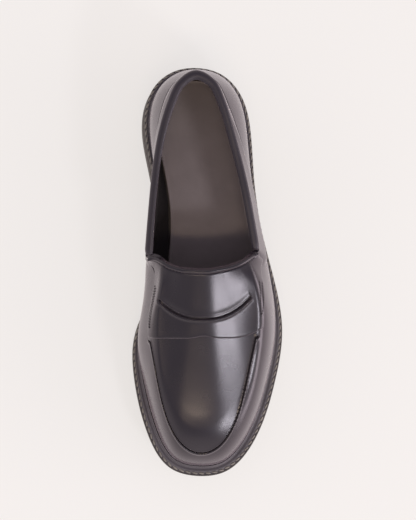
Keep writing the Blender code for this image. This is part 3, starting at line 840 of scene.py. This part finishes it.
def make_upper(leather, lining):
    last = Last(np.arange(COLUMNS) / COLUMNS, True)
    grid = upper_surface(last)
    mesh = bpy.data.meshes.new("upper_shell")
    mesh.from_pydata([tuple(p) for p in grid.reshape(-1, 3)], [], grid_faces(*grid.shape[:2], True))
    made = new_object("upper_shell", mesh, [leather, lining])
    solid = made.modifiers.new("wall", "SOLIDIFY")
    solid.thickness = UPPER_WALL
    solid.offset = -1.0
    solid.material_offset = 1
    dress(made, "upper", 60.0)
    return last


# The apron seam's painted shadow, a dark cord: half width of its line where fine, how much
# more where heavy, and the turn at which the heavy outer side ends
SEAM_SHADOW_HALF = 0.32 * MM
SEAM_SHADOW_HEAVY = 0.55 * MM
HEAVY_END = 0.465
HEAVY_FADE = 0.03
NOTCHED_SHARE = 0.40


def make_apron_shadow_and_stitches(last, dark):
    """A dark cord along the apron seam as its painted shadow, heavy and notched outside, and its
    stitches.
    """
    held = (last.turns > APRON_OUTER_END + 0.001) & (last.turns < APRON_INNER_END - 0.001)
    path, normals = last.line(last.seam, -0.10 * MM)
    path, normals, turns = path[held], normals[held], last.turns[held]
    half = SEAM_SHADOW_HALF + SEAM_SHADOW_HEAVY * (1.0 - smooth_step((turns - HEAVY_END) / HEAVY_FADE))
    # Painted shadow: a dark cord lying in the seam's groove
    cord("apron_seam_painted_shadow", [(path, normals, half, 0.35 * MM + half * 0.2)], dark)
    points, along, up = stitch_run(path + normals * 0.3 * MM, normals, 3.0 * MM)
    outer = np.linspace(0.0, 1.0, len(points)) < NOTCHED_SHARE
    notches = (points[outer], np.cross(up, along)[outer], up[outer])
    stitches = (points[~outer], along[~outer], up[~outer])
    thread("apron_notches", [notches], (2.9, 1.0, 0.8), dark)
    thread("apron_stitches", [stitches], (2.3, 0.8, 0.7), dark)


def make_collar_seam_shadow(last, dark):
    """A dark cord under the collar's padded band, as painted shadow of the band's edge."""
    path, normals = last.line(last.seam, -0.06 * MM)
    order = np.argsort(from_heel(last.turns))
    turns = from_heel(last.turns)[order]
    held = order[(turns > from_heel(INNER_CORNER) + 0.004) & (turns < OUTER_CORNER - 0.004)]
    half = np.full(len(held), 0.42 * MM)
    # Painted shadow: a dark cord where the band's edge shades the quarter
    cord("collar_seam_painted_shadow", [(path[held], normals[held], half, half * 0.7)], dark)


# The slit: half its width, the share at which its ends narrow, and the mesh rows beside it
SLIT_HALF = 0.95 * MM
SLIT_TAPER = 0.95
SLIT_ROWS = np.array([-4.2, -3.4, -2.8, -2.3, -1.9, -1.6, -1.35, -1.15, -0.95,
                      0.95, 1.15, 1.35, 1.6, 2.0, 2.6, 3.4]) * MM
SLIT_LIP = 8

# Mesh rows beside the saddle's front edge and its throat, as distances from them
FRONT_ROWS = np.array([0.0, 0.15, 0.35, 0.6, 0.9, 1.3, 1.8, 2.5]) * MM
THROAT_ROWS = np.array([4.6, 3.9, 3.4, 3.0, 2.7, 2.4, 2.0, 1.5, 1.0, 0.6, 0.3, 0.1, 0.0]) * MM

# How far the saddle stops short of the throat's corners, as a turn, and how it rises there
SADDLE_SHORT = 0.005
CORNER_RISE = 1.9 * MM
CORNER_REACH = 9.0 * MM

# About how long a whole turn is round the ribs' upper ends
LOOP_LENGTH = 0.76


def slit_share(points):
    """Place along the slit: -1 at its inner end, 1 at its outer end."""
    return (points[:, 0] - SLIT_CENTRE * BALL_WIDTH) / (SLIT_LENGTH / 2.0)


def slit_depth(rib):
    """Positive on the heel's side of the slit's line, carried on past its two ends."""
    share = slit_share(rib)
    bow = SLIT_SAG * np.abs(share) ** SLIT_BOW_POWER + SLIT_TILT * share
    return rib[:, 1] - LENGTH * SLIT_LINE - bow


def slit_places(last):
    """Distances up the ribs at which the slit's line crosses, and the places along it."""
    crossing = last.edge(slit_depth)
    shares = slit_share(last.at(crossing[:, None])[:, 0])
    crosses = (np.abs(shares) < 1.1) & (crossing > last.saddle + 6.0 * MM)
    room = last.whole - last.saddle
    places = ((crossing - last.saddle) / room)[crosses]
    places = last.saddle + np.interp(last.turns, last.turns[crosses], places) * room
    places = np.clip(places, last.saddle + 6.4 * MM, last.whole - 7.8 * MM)
    return places, np.where(crosses, shares, 2.0)


def slit_relief(s):
    """The slit's lower lip stands up and both lips are turned in, s up the rib from it."""
    return bumps_at(s, SLIT_BUMPS) - rounding(np.maximum(np.abs(s) - SLIT_HALF, 0.0), SLIT_ROUND)


def saddle_places(last, slit, share):
    """Rows of the saddle, closest at its edge, at the slit and at the throat."""
    places = []
    narrow = np.clip((np.abs(share) - SLIT_TAPER) / (1.0 - SLIT_TAPER), 0.0, 0.97)
    pinch = SLIT_HALF * (1.0 - np.sqrt(1.0 - narrow ** 2))
    for low, top, cut, shut in zip(last.saddle, last.whole, slit, pinch):
        front, lips, throat = low + FRONT_ROWS, cut + SLIT_ROWS, top - THROAT_ROWS
        ahead = np.linspace(front[-1], lips[0], SADDLE_ROWS + 2)[1:-1]
        behind = np.linspace(lips[-1], throat[0], SADDLE_ROWS + 2)[1:-1]
        lips = lips - shut * np.sign(SLIT_ROWS)
        places.append(np.concatenate([front, ahead, lips, behind, throat]))
    return np.array(places)


def make_saddle(leather, lining):
    """The saddle with its tongue, slit and rolled throat edge."""
    turns = np.linspace(OUTER_CORNER + SADDLE_SHORT, INNER_CORNER - SADDLE_SHORT, SADDLE_COLUMNS)
    last = Last(turns, False)
    slit, share = slit_places(last)
    opened = smooth_step((1.0 - np.abs(share)) / 0.012)
    places = saddle_places(last, slit, share)
    grid = last.at(places)
    from_top = places[:, -1:] - places
    from_side = np.minimum(turns - turns[0], turns[-1] - turns)[:, None] * LOOP_LENGTH
    relief = SADDLE_WALL + CLEARANCE - rounding(places - places[:, :1], FRONT_ROUND)
    relief = relief - rounding(from_side, SIDE_ROUND) - rounding(from_top, THROAT_ROUND)
    relief += bumps_at(from_top, THROAT_BUMPS)
    relief += slit_relief(places - slit[:, None]) * opened[:, None]
    corner = smooth_step(1.0 - from_side / CORNER_REACH) * smooth_step(1.0 - from_top / CORNER_REACH)
    relief += CORNER_RISE * corner
    normals = outward_normals(grid, False)
    kept = np.ones((len(turns) - 1, places.shape[1] - 1), bool)
    open_columns = np.minimum(opened[:-1], opened[1:]) > 0.5
    kept[open_columns, len(FRONT_ROWS) + SADDLE_ROWS + SLIT_LIP] = False
    outside, inside = grid + normals * relief[..., None], grid + normals * CLEARANCE
    made = skin_object("saddle_strap", outside, inside, kept, [leather, lining])
    dress(made, "saddle", 70.0)
    return last


def make_throat_stitches(last, dark):
    """A fine row of stitches inside the rolled throat edge."""
    path, normals = last.line(last.whole - 2.85 * MM, SADDLE_WALL + CLEARANCE - 0.35 * MM, 0.35 * MM)
    thread("throat_stitches", [stitch_run(path[6:-6], normals[6:-6], 2.4 * MM)], (1.7, 0.5, 0.5), dark)


# Marks on the last beside the saddle, each a turn and a drop from the top in millimetres:
# the rows of stitches, the fold that ends in a bar tack, and the collar's end beside it
OUTER_ROWS = [
    [(0.2890, 19.0), (0.3013, 24.8), (0.3130, 31.2), (0.3220, 36.8), (0.3300, 42.0)],
    [(0.2840, 21.8), (0.2957, 26.2), (0.3080, 32.8), (0.3180, 37.8), (0.3283, 42.0)],
]
INNER_ROWS = [
    [(0.7110, 22.2), (0.6987, 32.5), (0.6870, 40.4), (0.6780, 45.9), (0.6700, 50.2)],
    [(0.7160, 22.1), (0.7043, 32.4), (0.6920, 41.7), (0.6820, 47.1), (0.6717, 50.4)],
]
FOLD = [(0.2507, 8.2), (0.2613, 12.8), (0.2743, 17.0)]
TAB = [(0.2390, 11.2), (0.2517, 14.5), (0.2667, 18.2)]
TACK_THREADS = 4
TACK_PITCH = 0.75 * MM


def both_sides(marks):
    return marks, [(1.0 - turn, drop) for turn, drop in marks]


def make_side_stitches(dark):
    """Two rows of stitches down each side of the saddle, below a bar tack."""
    lift = SADDLE_WALL + CLEARANCE + 0.12 * MM
    runs = [stitch_run(*line_on_last(marks, lift), 1.9 * MM) for marks in OUTER_ROWS + INNER_ROWS]
    thread("side_stitches", runs, (1.35, 0.6, 0.6), dark)
    tacks = []
    for marks in both_sides(FOLD):
        path, normals = line_on_last(marks, 0.35 * MM)
        along, up = unit(path[-1] - path[-4]), normals[-1]
        places = np.array([path[-1] + along * k * TACK_PITCH for k in range(TACK_THREADS)])
        across = np.tile(np.cross(along, up), (TACK_THREADS, 1))
        tacks.append((places, across, np.tile(up, (TACK_THREADS, 1))))
    thread("bar_tacks", tacks, (2.6, 0.65, 0.9), dark)


def make_collar_tabs(leather, dark):
    """The collar's ends, carried down beside the saddle to the bar tacks, with a dark cord along each
    fold as painted shade.
    """
    tabs, folds = [], []
    for marks in both_sides(TAB):
        path, normals = line_on_last(marks, 0.35 * MM)
        slim = np.linspace(1.0, 0.0, len(path))
        tabs.append((path, normals, (0.7 + 0.9 * slim) * MM, (0.5 + 0.5 * slim) * MM))
    for marks in both_sides(FOLD):
        path, normals = line_on_last(marks, 0.1 * MM)
        half = np.full(len(path), 0.35 * MM)
        folds.append((path, normals, half, half * 1.4))
    cord("collar_tabs", tabs, leather)
    # Painted shade: dark cords along the folds' creases
    cord("collar_fold_painted_shade", folds, dark)


# The collar roll's section: out of the leather and up along the rib, in millimetres
ROLL = [
    (1.60, -5.2), (2.55, -3.9), (3.15, -2.6), (3.30, -1.5), (3.05, -0.5),
    (2.45, 0.35), (1.55, 0.95), (0.50, 1.30), (-0.60, 1.42), (-1.60, 1.32),
    (-2.40, 1.05), (-3.00, 0.72), (-3.35, 0.78), (-3.72, 0.58), (-3.85, 0.15),
    (-3.70, -0.30), (-3.30, -0.70), (-2.80, -1.30), (-2.40, -2.60), (-2.20, -5.2),
]
ROLL_COLUMNS = 300

# How far the roll reaches into the mouth: turn from the heel, reach in millimetres
ROLL_REACH = [(-0.24, 3.2), (-0.20, 2.1), (-0.10, 2.0), (-0.05, 2.25), (0.05, 2.3), (0.09, 2.0),
              (0.24, 2.0)]
HEEL_REACH = 0.9 * MM

# The roll's ends are this share of its size, and dip by this much for each share lost
ROLL_END = 0.8
ROLL_DIP = 2.0 * MM


def make_collar_roll(leather):
    """The padded collar turned over into the mouth, with a bead along its inner edge."""
    turns = np.linspace(OUTER_CORNER - 0.001, from_heel(INNER_CORNER) + 0.001, ROLL_COLUMNS)
    rib = ribs(np.mod(turns, 1.0))
    top = rib[:, -1]
    up = unit(rib[:, -1] - rib[:, -14])
    out = unit(np.cross(np.gradient(top, axis=0), up))
    _, outward = outline(np.mod(turns, 1.0))
    out *= np.sign(np.einsum("ik,ik->i", out[:, :2], outward))[:, None]
    column = np.arange(ROLL_COLUMNS)
    slim = ROLL_END + (1.0 - ROLL_END) * smooth_step(np.minimum(column, column[::-1]) / 6.0)
    section = np.array(ROLL) * MM
    places, reaches = np.array(ROLL_REACH).T
    depth = softened_line(np.interp(turns, places, reaches)) * MM
    depth += HEEL_REACH * bump_at(turns, 0.0, 0.03)
    scale = np.where(section[:, 0] < 0.0, depth[:, None] / -section[:, 0].min(), 1.0)
    reach = section[:, 0] * scale * slim[:, None]
    lift = section[:, 1] - ROLL_DIP * (1.0 - slim[:, None])
    grid = top[:, None] + out[:, None] * reach[..., None] + up[:, None] * lift[..., None]
    count = len(section)
    faces = grid_faces(ROLL_COLUMNS, count, False, True)
    faces += [tuple(end * count + np.arange(count)) for end in (0, ROLL_COLUMNS - 1)]
    made = new_object("collar_roll", closed_mesh("collar_roll", grid.reshape(-1, 3), faces), [leather])
    subdivide(made)
    dress(made, "topline_binding", 60.0)


# Insole, welt, midsole, outsole and heel


def sole_turns():
    return np.arange(SOLE_COLUMNS) / SOLE_COLUMNS


def layer_loops(turns, levels, height_at):
    """Loops round the shoe, each from a level that height_at turns into heights, and an inset."""
    loops = []
    for level, inset in levels:
        plan, _ = outline(turns, inset)
        loops.append(at_height(plan, height_at(plan[:, 1], level)))
    return loops


# The foot bed, top first: height and further inset in millimetres, its rim turned up a little
FOOT_BED = [
    (4.0, 6.0), (3.95, 2.6), (3.85, 1.8), (4.15, 1.3), (4.25, 0.7), (4.0, 0.2), (3.4, 0.0), (0.3, 0.0),
]

# Sides of midsole and outsole, top first: share of the thickness from below, inset in millimetres
MIDSOLE_SIDE = [
    (1.0, 1.1), (0.94, 0.75), (0.8, 0.55), (0.5, 0.5), (0.2, 0.55), (0.06, 0.75), (0.0, 1.1),
]
OUTSOLE_SIDE = [
    (1.00, 0.9), (0.96, 0.45), (0.88, 0.1), (0.70, 0.0),
    (0.52, 0.05), (0.47, 0.35), (0.45, 0.9), (0.00, 0.9),
]

# Side of the heel block, top first: share of its height, share of the step, share of the flare
HEEL_SIDE = [(1.00, 1.0, 0.0), (0.62, 1.0, 0.0), (0.60, 0.4, 0.1), (0.57, 0.0, 0.3), (0.00, 0.0, 1.0)]

# How far the moulded rubber's edges are eased
MOULD_EASE = 0.35 * MM


def make_layer(name, loops, finish, node):
    made = new_object(name, closed_mesh(name, *slab(loops)), [finish])
    dress(made, node, 50.0)


def make_insole(finish):
    """The bare foot bed, with a rim turned up a little against the lining."""
    turns = sole_turns()
    inset = last_at(turns)[0] * WELT_WIDTH + UPPER_WALL + 2.0 * CLEARANCE
    levels = [(height * MM, inset + extra * MM) for height, extra in FOOT_BED]
    loops = layer_loops(turns, levels, lambda y, height: midsole_top(y) + height)
    make_layer("foot_bed", loops, finish, "insole")


def make_welt(edge, top):
    """The storm welt: milled edge, a bed for the stitches, a groove, and the rib."""
    turns = sole_turns()
    inner = wall_inset(turns) + 0.1 * MM
    rib = np.minimum(WELT_RIB_WIDTH, inner * 0.3)
    flat = inner - rib
    high = WELT_RIB_HEIGHT / MM
    profile = [
        # height above the welt's top in millimetres, inset from the outline
        (-3.7, 0.5 * MM),
        (-3.1, 0.1 * MM),
        (-2.0, 0.0),
        (-0.9, 0.1 * MM),
        (-0.15, 0.45 * MM),
        (0.0, 0.9 * MM),
        (0.0, flat * 0.20),
        (-0.55, flat * 0.27),
        (-0.60, flat * 0.42),
        (-0.05, flat * 0.50),
        (-0.15, flat * 0.66),
        (-0.9, flat * 0.80),
        (-1.0, flat * 0.95),
        (0.3, flat + rib * 0.05),
        (high - 0.35, flat + rib * 0.22),
        (high, flat + rib * 0.50),
        (high - 0.35, flat + rib * 0.78),
        (0.0, inner),
        (-3.7, inner),
    ]
    loops = layer_loops(turns, profile, lambda y, height: welt_top(y) + height * MM)
    grid = np.array(loops).transpose(1, 0, 2)
    faces = grid_faces(SOLE_COLUMNS, len(profile), True, True)
    mesh = closed_mesh("storm_welt", grid.reshape(-1, 3), faces)
    # The welt's upward faces take the top finish, lightened as a painted reflection
    for face in mesh.polygons:
        levels = sorted(vertex % len(profile) for vertex in face.vertices)
        face.material_index = int(6 <= levels[0] and levels[-1] < len(profile) - 1)
    made = new_object("storm_welt", mesh, [edge, top])
    subdivide(made)
    dress(made, "welt")
    return turns, flat


def make_welt_stitches(turns, flat, pale):
    """Heavy stitches round the welt, each lying a little aslant."""
    plan, _ = outline(turns, flat * 0.345)
    path = at_height(plan, welt_top(plan[:, 1]) - 0.25 * MM)
    path = np.vstack([path, path[:1]])
    points, along, up = stitch_run(path, np.tile((0.0, 0.0, 1.0), (len(path), 1)), 4.9 * MM)
    along = unit(along + 0.22 * np.cross(along, up))
    thread("welt_stitches", [(points, along, up)], (4.3, 1.5, 1.15), pale)


def make_midsole(finish):
    levels = [(MIDSOLE_THICKNESS * (share - 1.0), inset * MM) for share, inset in MIDSOLE_SIDE]
    loops = layer_loops(sole_turns(), levels, lambda y, height: midsole_top(y) + height)
    make_layer("midsole_layer", loops, finish, "midsole")


def joined_blocks(name, blocks):
    """One object from several blocks that don't touch each other."""
    points, faces = [], []
    for block_points, block_faces in blocks:
        faces += [tuple(len(points) + i for i in face) for face in block_faces]
        points.extend(block_points)
    return new_object(name, closed_mesh(name, points, faces))


def with_lugs(name, loops, blocks, finish, node):
    """A moulded slab with its lugs joined on and its edges eased."""
    made = new_object(name, closed_mesh(name, *slab(loops)), [finish])
    lugs = joined_blocks(name + "_lugs", blocks)
    union = made.modifiers.new("union", "BOOLEAN")
    union.object = lugs
    union.operation = "UNION"
    union.solver = "EXACT"
    ease = made.modifiers.new("ease", "BEVEL")
    ease.width = MOULD_EASE
    ease.segments = 2
    ease.limit_method = "ANGLE"
    ease.angle_limit = math.radians(40.0)
    dress(made, node, 35.0)
    bpy.data.objects.remove(lugs)


def make_outsole(finish):
    """The outsole: a stepped slab the length of the shoe, with the forefoot's lugs."""

    def height_at(y, share):
        low, high = outsole_underside(y), outsole_top(y)
        return low + (high - low) * share

    loops = layer_loops(sole_turns(), [(share, inset * MM) for share, inset in OUTSOLE_SIDE], height_at)
    back = LENGTH * TREAD_BACK
    front = -LENGTH / 2.0 + LUG_REACH + CENTRE_LUG_GAP
    inner_end, outer_end = turns_at(back)
    lugs = rim_lugs((outer_end, inner_end), outsole_underside, toe_lift, 0.0)
    lugs += centre_lugs((front, back), outsole_underside, toe_lift)
    with_lugs("tread", loops, lugs, finish, "outsole")


def make_heel(finish):
    """The heel block under the seat, straight across its breast, with its own lugs."""
    breast = LENGTH * HEEL_BREAST
    inner_end, outer_end = turns_at(breast)
    side = np.linspace(0.0, 1.0, HEEL_COLUMNS)[1:]
    turns = np.concatenate([[0.0], outer_end * side, 1.0 + (inner_end - 1.0) * side[::-1]])
    levels = [(share, SIDE_STEP * step - HEEL_FLARE * flare) for share, step, flare in HEEL_SIDE]
    height = seat_underside() - CLEARANCE - LUG_DEPTH
    loops = layer_loops(turns, levels, lambda y, share: np.full_like(y, LUG_DEPTH + height * share))
    back = LENGTH / 2.0 - LUG_REACH - CENTRE_LUG_GAP
    lugs = rim_lugs((inner_end - 1.0, outer_end), heel_roof, np.zeros_like, HEEL_FLARE)
    lugs += centre_lugs((breast, back), heel_roof, np.zeros_like)
    with_lugs("heel_block", loops, lugs, finish, "heel")


# Materials


class Nodes:
    """A material's nodes, added and joined in short calls."""

    def __init__(self, name):
        self.material = bpy.data.materials.new(name)
        self.material.use_nodes = True
        self.tree = self.material.node_tree
        self.shader = self.tree.nodes["Principled BSDF"]
        self.place = self.add("ShaderNodeTexCoord").outputs["Object"]

    def add(self, kind, **inputs):
        made = self.tree.nodes.new(kind)
        for name, value in inputs.items():
            made.inputs[name].default_value = value
        return made

    def give(self, values):
        """Sets the shader's own sockets."""
        for name, value in values.items():
            self.shader.inputs[name].default_value = value

    def join(self, source, target):
        self.tree.links.new(source, target)

    def noise(self, scale, detail=3.0):
        made = self.add("ShaderNodeTexNoise", Scale=scale, Detail=detail, Roughness=0.55)
        self.join(self.place, made.inputs["Vector"])
        return made.outputs["Fac"]

    def spread(self, source, low, high, to_low=0.0, to_high=1.0):
        made = self.add("ShaderNodeMapRange")
        for k, value in enumerate((low, high, to_low, to_high)):
            made.inputs[k + 1].default_value = value
        self.join(source, made.inputs["Value"])
        return made.outputs["Result"]

    def blend(self, source, first, second):
        made = self.tree.nodes.new("ShaderNodeMix")
        made.data_type = "RGBA"
        for socket, value in ((made.inputs[6], first), (made.inputs[7], second)):
            if isinstance(value, tuple):
                socket.default_value = (*value, 1.0)
            else:
                self.join(value, socket)
        self.join(source, made.inputs[0])
        return made.outputs[2]

    def finish(self, colour, roughness, layers):
        """Joins colour, roughness and bumps: each a height source, a depth and a strength."""
        self.join(colour, self.shader.inputs["Base Color"])
        self.join(roughness, self.shader.inputs["Roughness"])
        target = self.shader.inputs["Normal"]
        for source, depth, strength in reversed(layers):
            made = self.add("ShaderNodeBump", Distance=depth, Strength=strength)
            self.join(source, made.inputs["Height"])
            self.join(made.outputs["Normal"], target)
            target = made.inputs["Normal"]
        return self.material


# Painted sheen: the lighter tone given to the leather where it turns away from the eye, and where that
# sets in
PAINTED_SHEEN_TONE = (0.078, 0.060, 0.070)
PAINTED_SHEEN_TURN = (0.22, 0.72)

# How polished leather takes the light
CALF_SHINE = {
    "Sheen Weight": 0.3,
    "Sheen Roughness": 0.25,
    "Sheen Tint": (1.0, 0.86, 0.92, 1.0),
    "Coat Roughness": 0.24,
    "Coat Tint": (1.0, 0.95, 0.98, 1.0),
    "Specular Tint": (1.0, 0.92, 0.96, 1.0),
}

# The leathers: dark and light tone, roughness, weight of the polish
LEATHERS = {
    "calf": ((0.0040, 0.0026, 0.0052), (0.0068, 0.0046, 0.0088), 0.26, 0.20),
    "collar_calf": ((0.0090, 0.0068, 0.0110), (0.0130, 0.0100, 0.0155), 0.46, 0.0),
}

# The matt finishes: dark and light tone, roughness, grains in a metre, grain depth in mm, shine
MATT = {
    "lining": ((0.012, 0.009, 0.009), (0.018, 0.014, 0.014), 0.62, 900.0, 0.06, 0.5),
    "foot_bed": ((0.212, 0.170, 0.166), (0.252, 0.205, 0.199), 0.62, 1100.0, 0.05, 0.5),
    "welt_edge": ((0.036, 0.029, 0.026), (0.070, 0.058, 0.051), 0.60, 1400.0, 0.12, 0.5),
    # welt_top, lighter than welt_edge, is the welt's tone with a painted reflection for its upward
    # faces
    "welt_top": ((0.105, 0.093, 0.102), (0.140, 0.126, 0.137), 0.50, 900.0, 0.05, 0.5),
    "rubber": ((0.070, 0.058, 0.052), (0.095, 0.080, 0.072), 0.66, 1700.0, 0.10, 0.5),
    # Thread, and also the painted shade of the seam and fold cords, with little shine so it stays dark
    "dark_thread_and_painted_shade": ((0.008, 0.006, 0.007), (0.013, 0.010, 0.011), 0.80, 3000.0, 0.05, 0.08),
    "welt_thread": ((0.19, 0.168, 0.148), (0.26, 0.235, 0.205), 0.65, 3000.0, 0.08, 0.5),
}


def leather(name, dark, light, gloss, coat):
    """Polished calf: deep colour with a painted sheen where it turns from the eye, a fine grain and a
    slight unevenness of the shine.
    """
    made = Nodes(name)
    deep = made.blend(made.spread(made.noise(14.0), 0.35, 0.7), dark, light)
    # Painted sheen: the colour is lightened where the surface turns away from the eye
    sheen_facing = made.add("ShaderNodeLayerWeight", Blend=0.5)
    colour = made.blend(made.spread(sheen_facing.outputs["Facing"], *PAINTED_SHEEN_TURN), deep, PAINTED_SHEEN_TONE)
    made.give(CALF_SHINE | {"Coat Weight": coat})
    return made.finish(colour, made.spread(made.noise(45.0), 0.2, 0.8, gloss - 0.02, gloss + 0.03), [
        (made.noise(22.0, 2.0), 0.3 * MM, 0.10),
        (made.noise(700.0, 2.0), 0.04 * MM, 0.30),
    ])


def matt(name, dark, light, roughness, grain, depth, shine):
    """A matt finish with soft mottling and grain."""
    made = Nodes(name)
    colour = made.blend(made.spread(made.noise(35.0), 0.3, 0.7), dark, light)
    made.give({"Specular IOR Level": shine})
    rough = made.spread(made.noise(200.0), 0.3, 0.7, roughness - 0.05, roughness + 0.08)
    return made.finish(colour, rough, [
        (made.noise(grain * 0.2, 2.0), depth * 3.0 * MM, 0.25),
        (made.noise(grain), depth * MM, 0.5),
    ])


# Floor, light and camera

# The floor is a light table, so that the shoe casts only a faint shadow
FLOOR_REACH = 6.0
FLOOR_FINISH = {
    "Base Color": (0.26, 0.25, 0.243, 1.0),
    "Roughness": 0.9,
    "Specular IOR Level": 0.0,
    "Emission Color": (0.640, 0.622, 0.602, 1.0),
    "Emission Strength": 1.0,
}

# Softboxes: direction from the shoe, distance, width and height in metres, watts, colour
SOFTBOXES = {
    "key": ((0.575, -0.74, 1.0), 3.5, (0.56, 0.38), 23.0, (0.92, 0.94, 1.0)),
    "toe_glow": ((-0.05, -0.39, 1.0), 3.0, (1.0, 0.20), 13.0, (1.0, 0.84, 0.62)),
    "side": ((1.0, -0.30, 0.22), 3.0, (2.4, 1.0), 36.0, (1.0, 0.91, 0.97)),
}

# Height of a direction, 0 at the horizon and 1 overhead, and the light that comes from there
WORLD_STOPS = [
    (0.01, (1.15, 1.07, 1.08)),
    (0.40, (1.15, 1.07, 1.09)),
    (0.52, (1.10, 1.02, 1.05)),
    (0.62, (0.78, 0.74, 0.77)),
    (0.74, (0.52, 0.50, 0.57)),
    (0.99, (0.50, 0.48, 0.57)),
]

# The photo's frame, the column of the shoe's middle in it, and its focal length, in pixels
FRAME_WIDTH = 416
FRAME_HEIGHT = 520
SHOE_COLUMN = 304
FOCAL_PIXELS = 1335.0
SENSOR = 36.0
CAMERA_PLACE = (-0.0691, 0.0082, 1.0)


def make_floor():
    corners = [(x * FLOOR_REACH, y * FLOOR_REACH, 0.0) for x, y in ((-1, -1), (1, -1), (1, 1), (-1, 1))]
    mesh = bpy.data.meshes.new("floor")
    mesh.from_pydata(corners, [], [(0, 1, 2, 3)])
    finish = Nodes("pale_floor")
    finish.give(FLOOR_FINISH)
    new_object("floor", mesh, [finish.material])


def softbox(name, towards, distance, size, power, colour):
    """An area light that faces the shoe from a direction."""
    light = bpy.data.lights.new(name, "AREA")
    light.shape = "RECTANGLE"
    light.size, light.size_y = size
    light.energy = power
    light.color = colour
    made = new_object(name, light)
    made.location = unit(np.array(towards)) * distance
    made.rotation_mode = "QUATERNION"
    made.rotation_quaternion = made.location.to_track_quat("Z", "Y")


def make_world():
    """Pale surroundings: bright round the horizon, duller overhead."""
    world = bpy.data.worlds.new("studio")
    bpy.context.scene.world = world
    world.use_nodes = True
    tree = world.node_tree
    place = tree.nodes.new("ShaderNodeTexCoord")
    split = tree.nodes.new("ShaderNodeSeparateXYZ")
    ramp = tree.nodes.new("ShaderNodeValToRGB")
    tree.links.new(place.outputs["Generated"], split.inputs[0])
    tree.links.new(split.outputs["Z"], ramp.inputs[0])
    tree.links.new(ramp.outputs[0], tree.nodes["Background"].inputs["Color"])
    stops = ramp.color_ramp.elements
    for height, colour in WORLD_STOPS:
        stops.new(height).color = (*colour, 1.0)
    stops.remove(stops[0])
    stops.remove(stops[-1])
    tree.nodes["Background"].inputs["Strength"].default_value = 1.0


def make_camera():
    """Nearly straight above, from the inner side, as the photo sees this shoe of the pair."""
    camera = bpy.data.cameras.new("camera")
    camera.sensor_width = SENSOR
    camera.lens = SENSOR * FOCAL_PIXELS / FRAME_HEIGHT
    made = new_object("camera", camera)
    made.location = CAMERA_PLACE
    made.rotation_euler = (0.0, -math.atan((SHOE_COLUMN - FRAME_WIDTH / 2.0) / FOCAL_PIXELS), 0.0)
    bpy.context.scene.camera = made


def main():
    calf, collar = (leather(name, *row) for name, row in LEATHERS.items())
    finish = {name: matt(name, *row) for name, row in MATT.items()}
    lining, dark = finish["lining"], finish["dark_thread_and_painted_shade"]
    last = make_upper(calf, lining)
    make_apron_shadow_and_stitches(last, dark)
    make_collar_seam_shadow(last, dark)
    make_side_stitches(dark)
    make_collar_tabs(collar, dark)
    make_throat_stitches(make_saddle(calf, lining), dark)
    make_collar_roll(collar)
    make_insole(finish["foot_bed"])
    turns, flat = make_welt(finish["welt_edge"], finish["welt_top"])
    make_welt_stitches(turns, flat, finish["welt_thread"])
    make_midsole(finish["welt_edge"])
    make_outsole(finish["rubber"])
    make_heel(finish["rubber"])
    make_floor()
    make_world()
    for name, row in SOFTBOXES.items():
        softbox(name, *row)
    make_camera()
    bpy.context.scene.view_settings.view_transform = "Standard"


main()
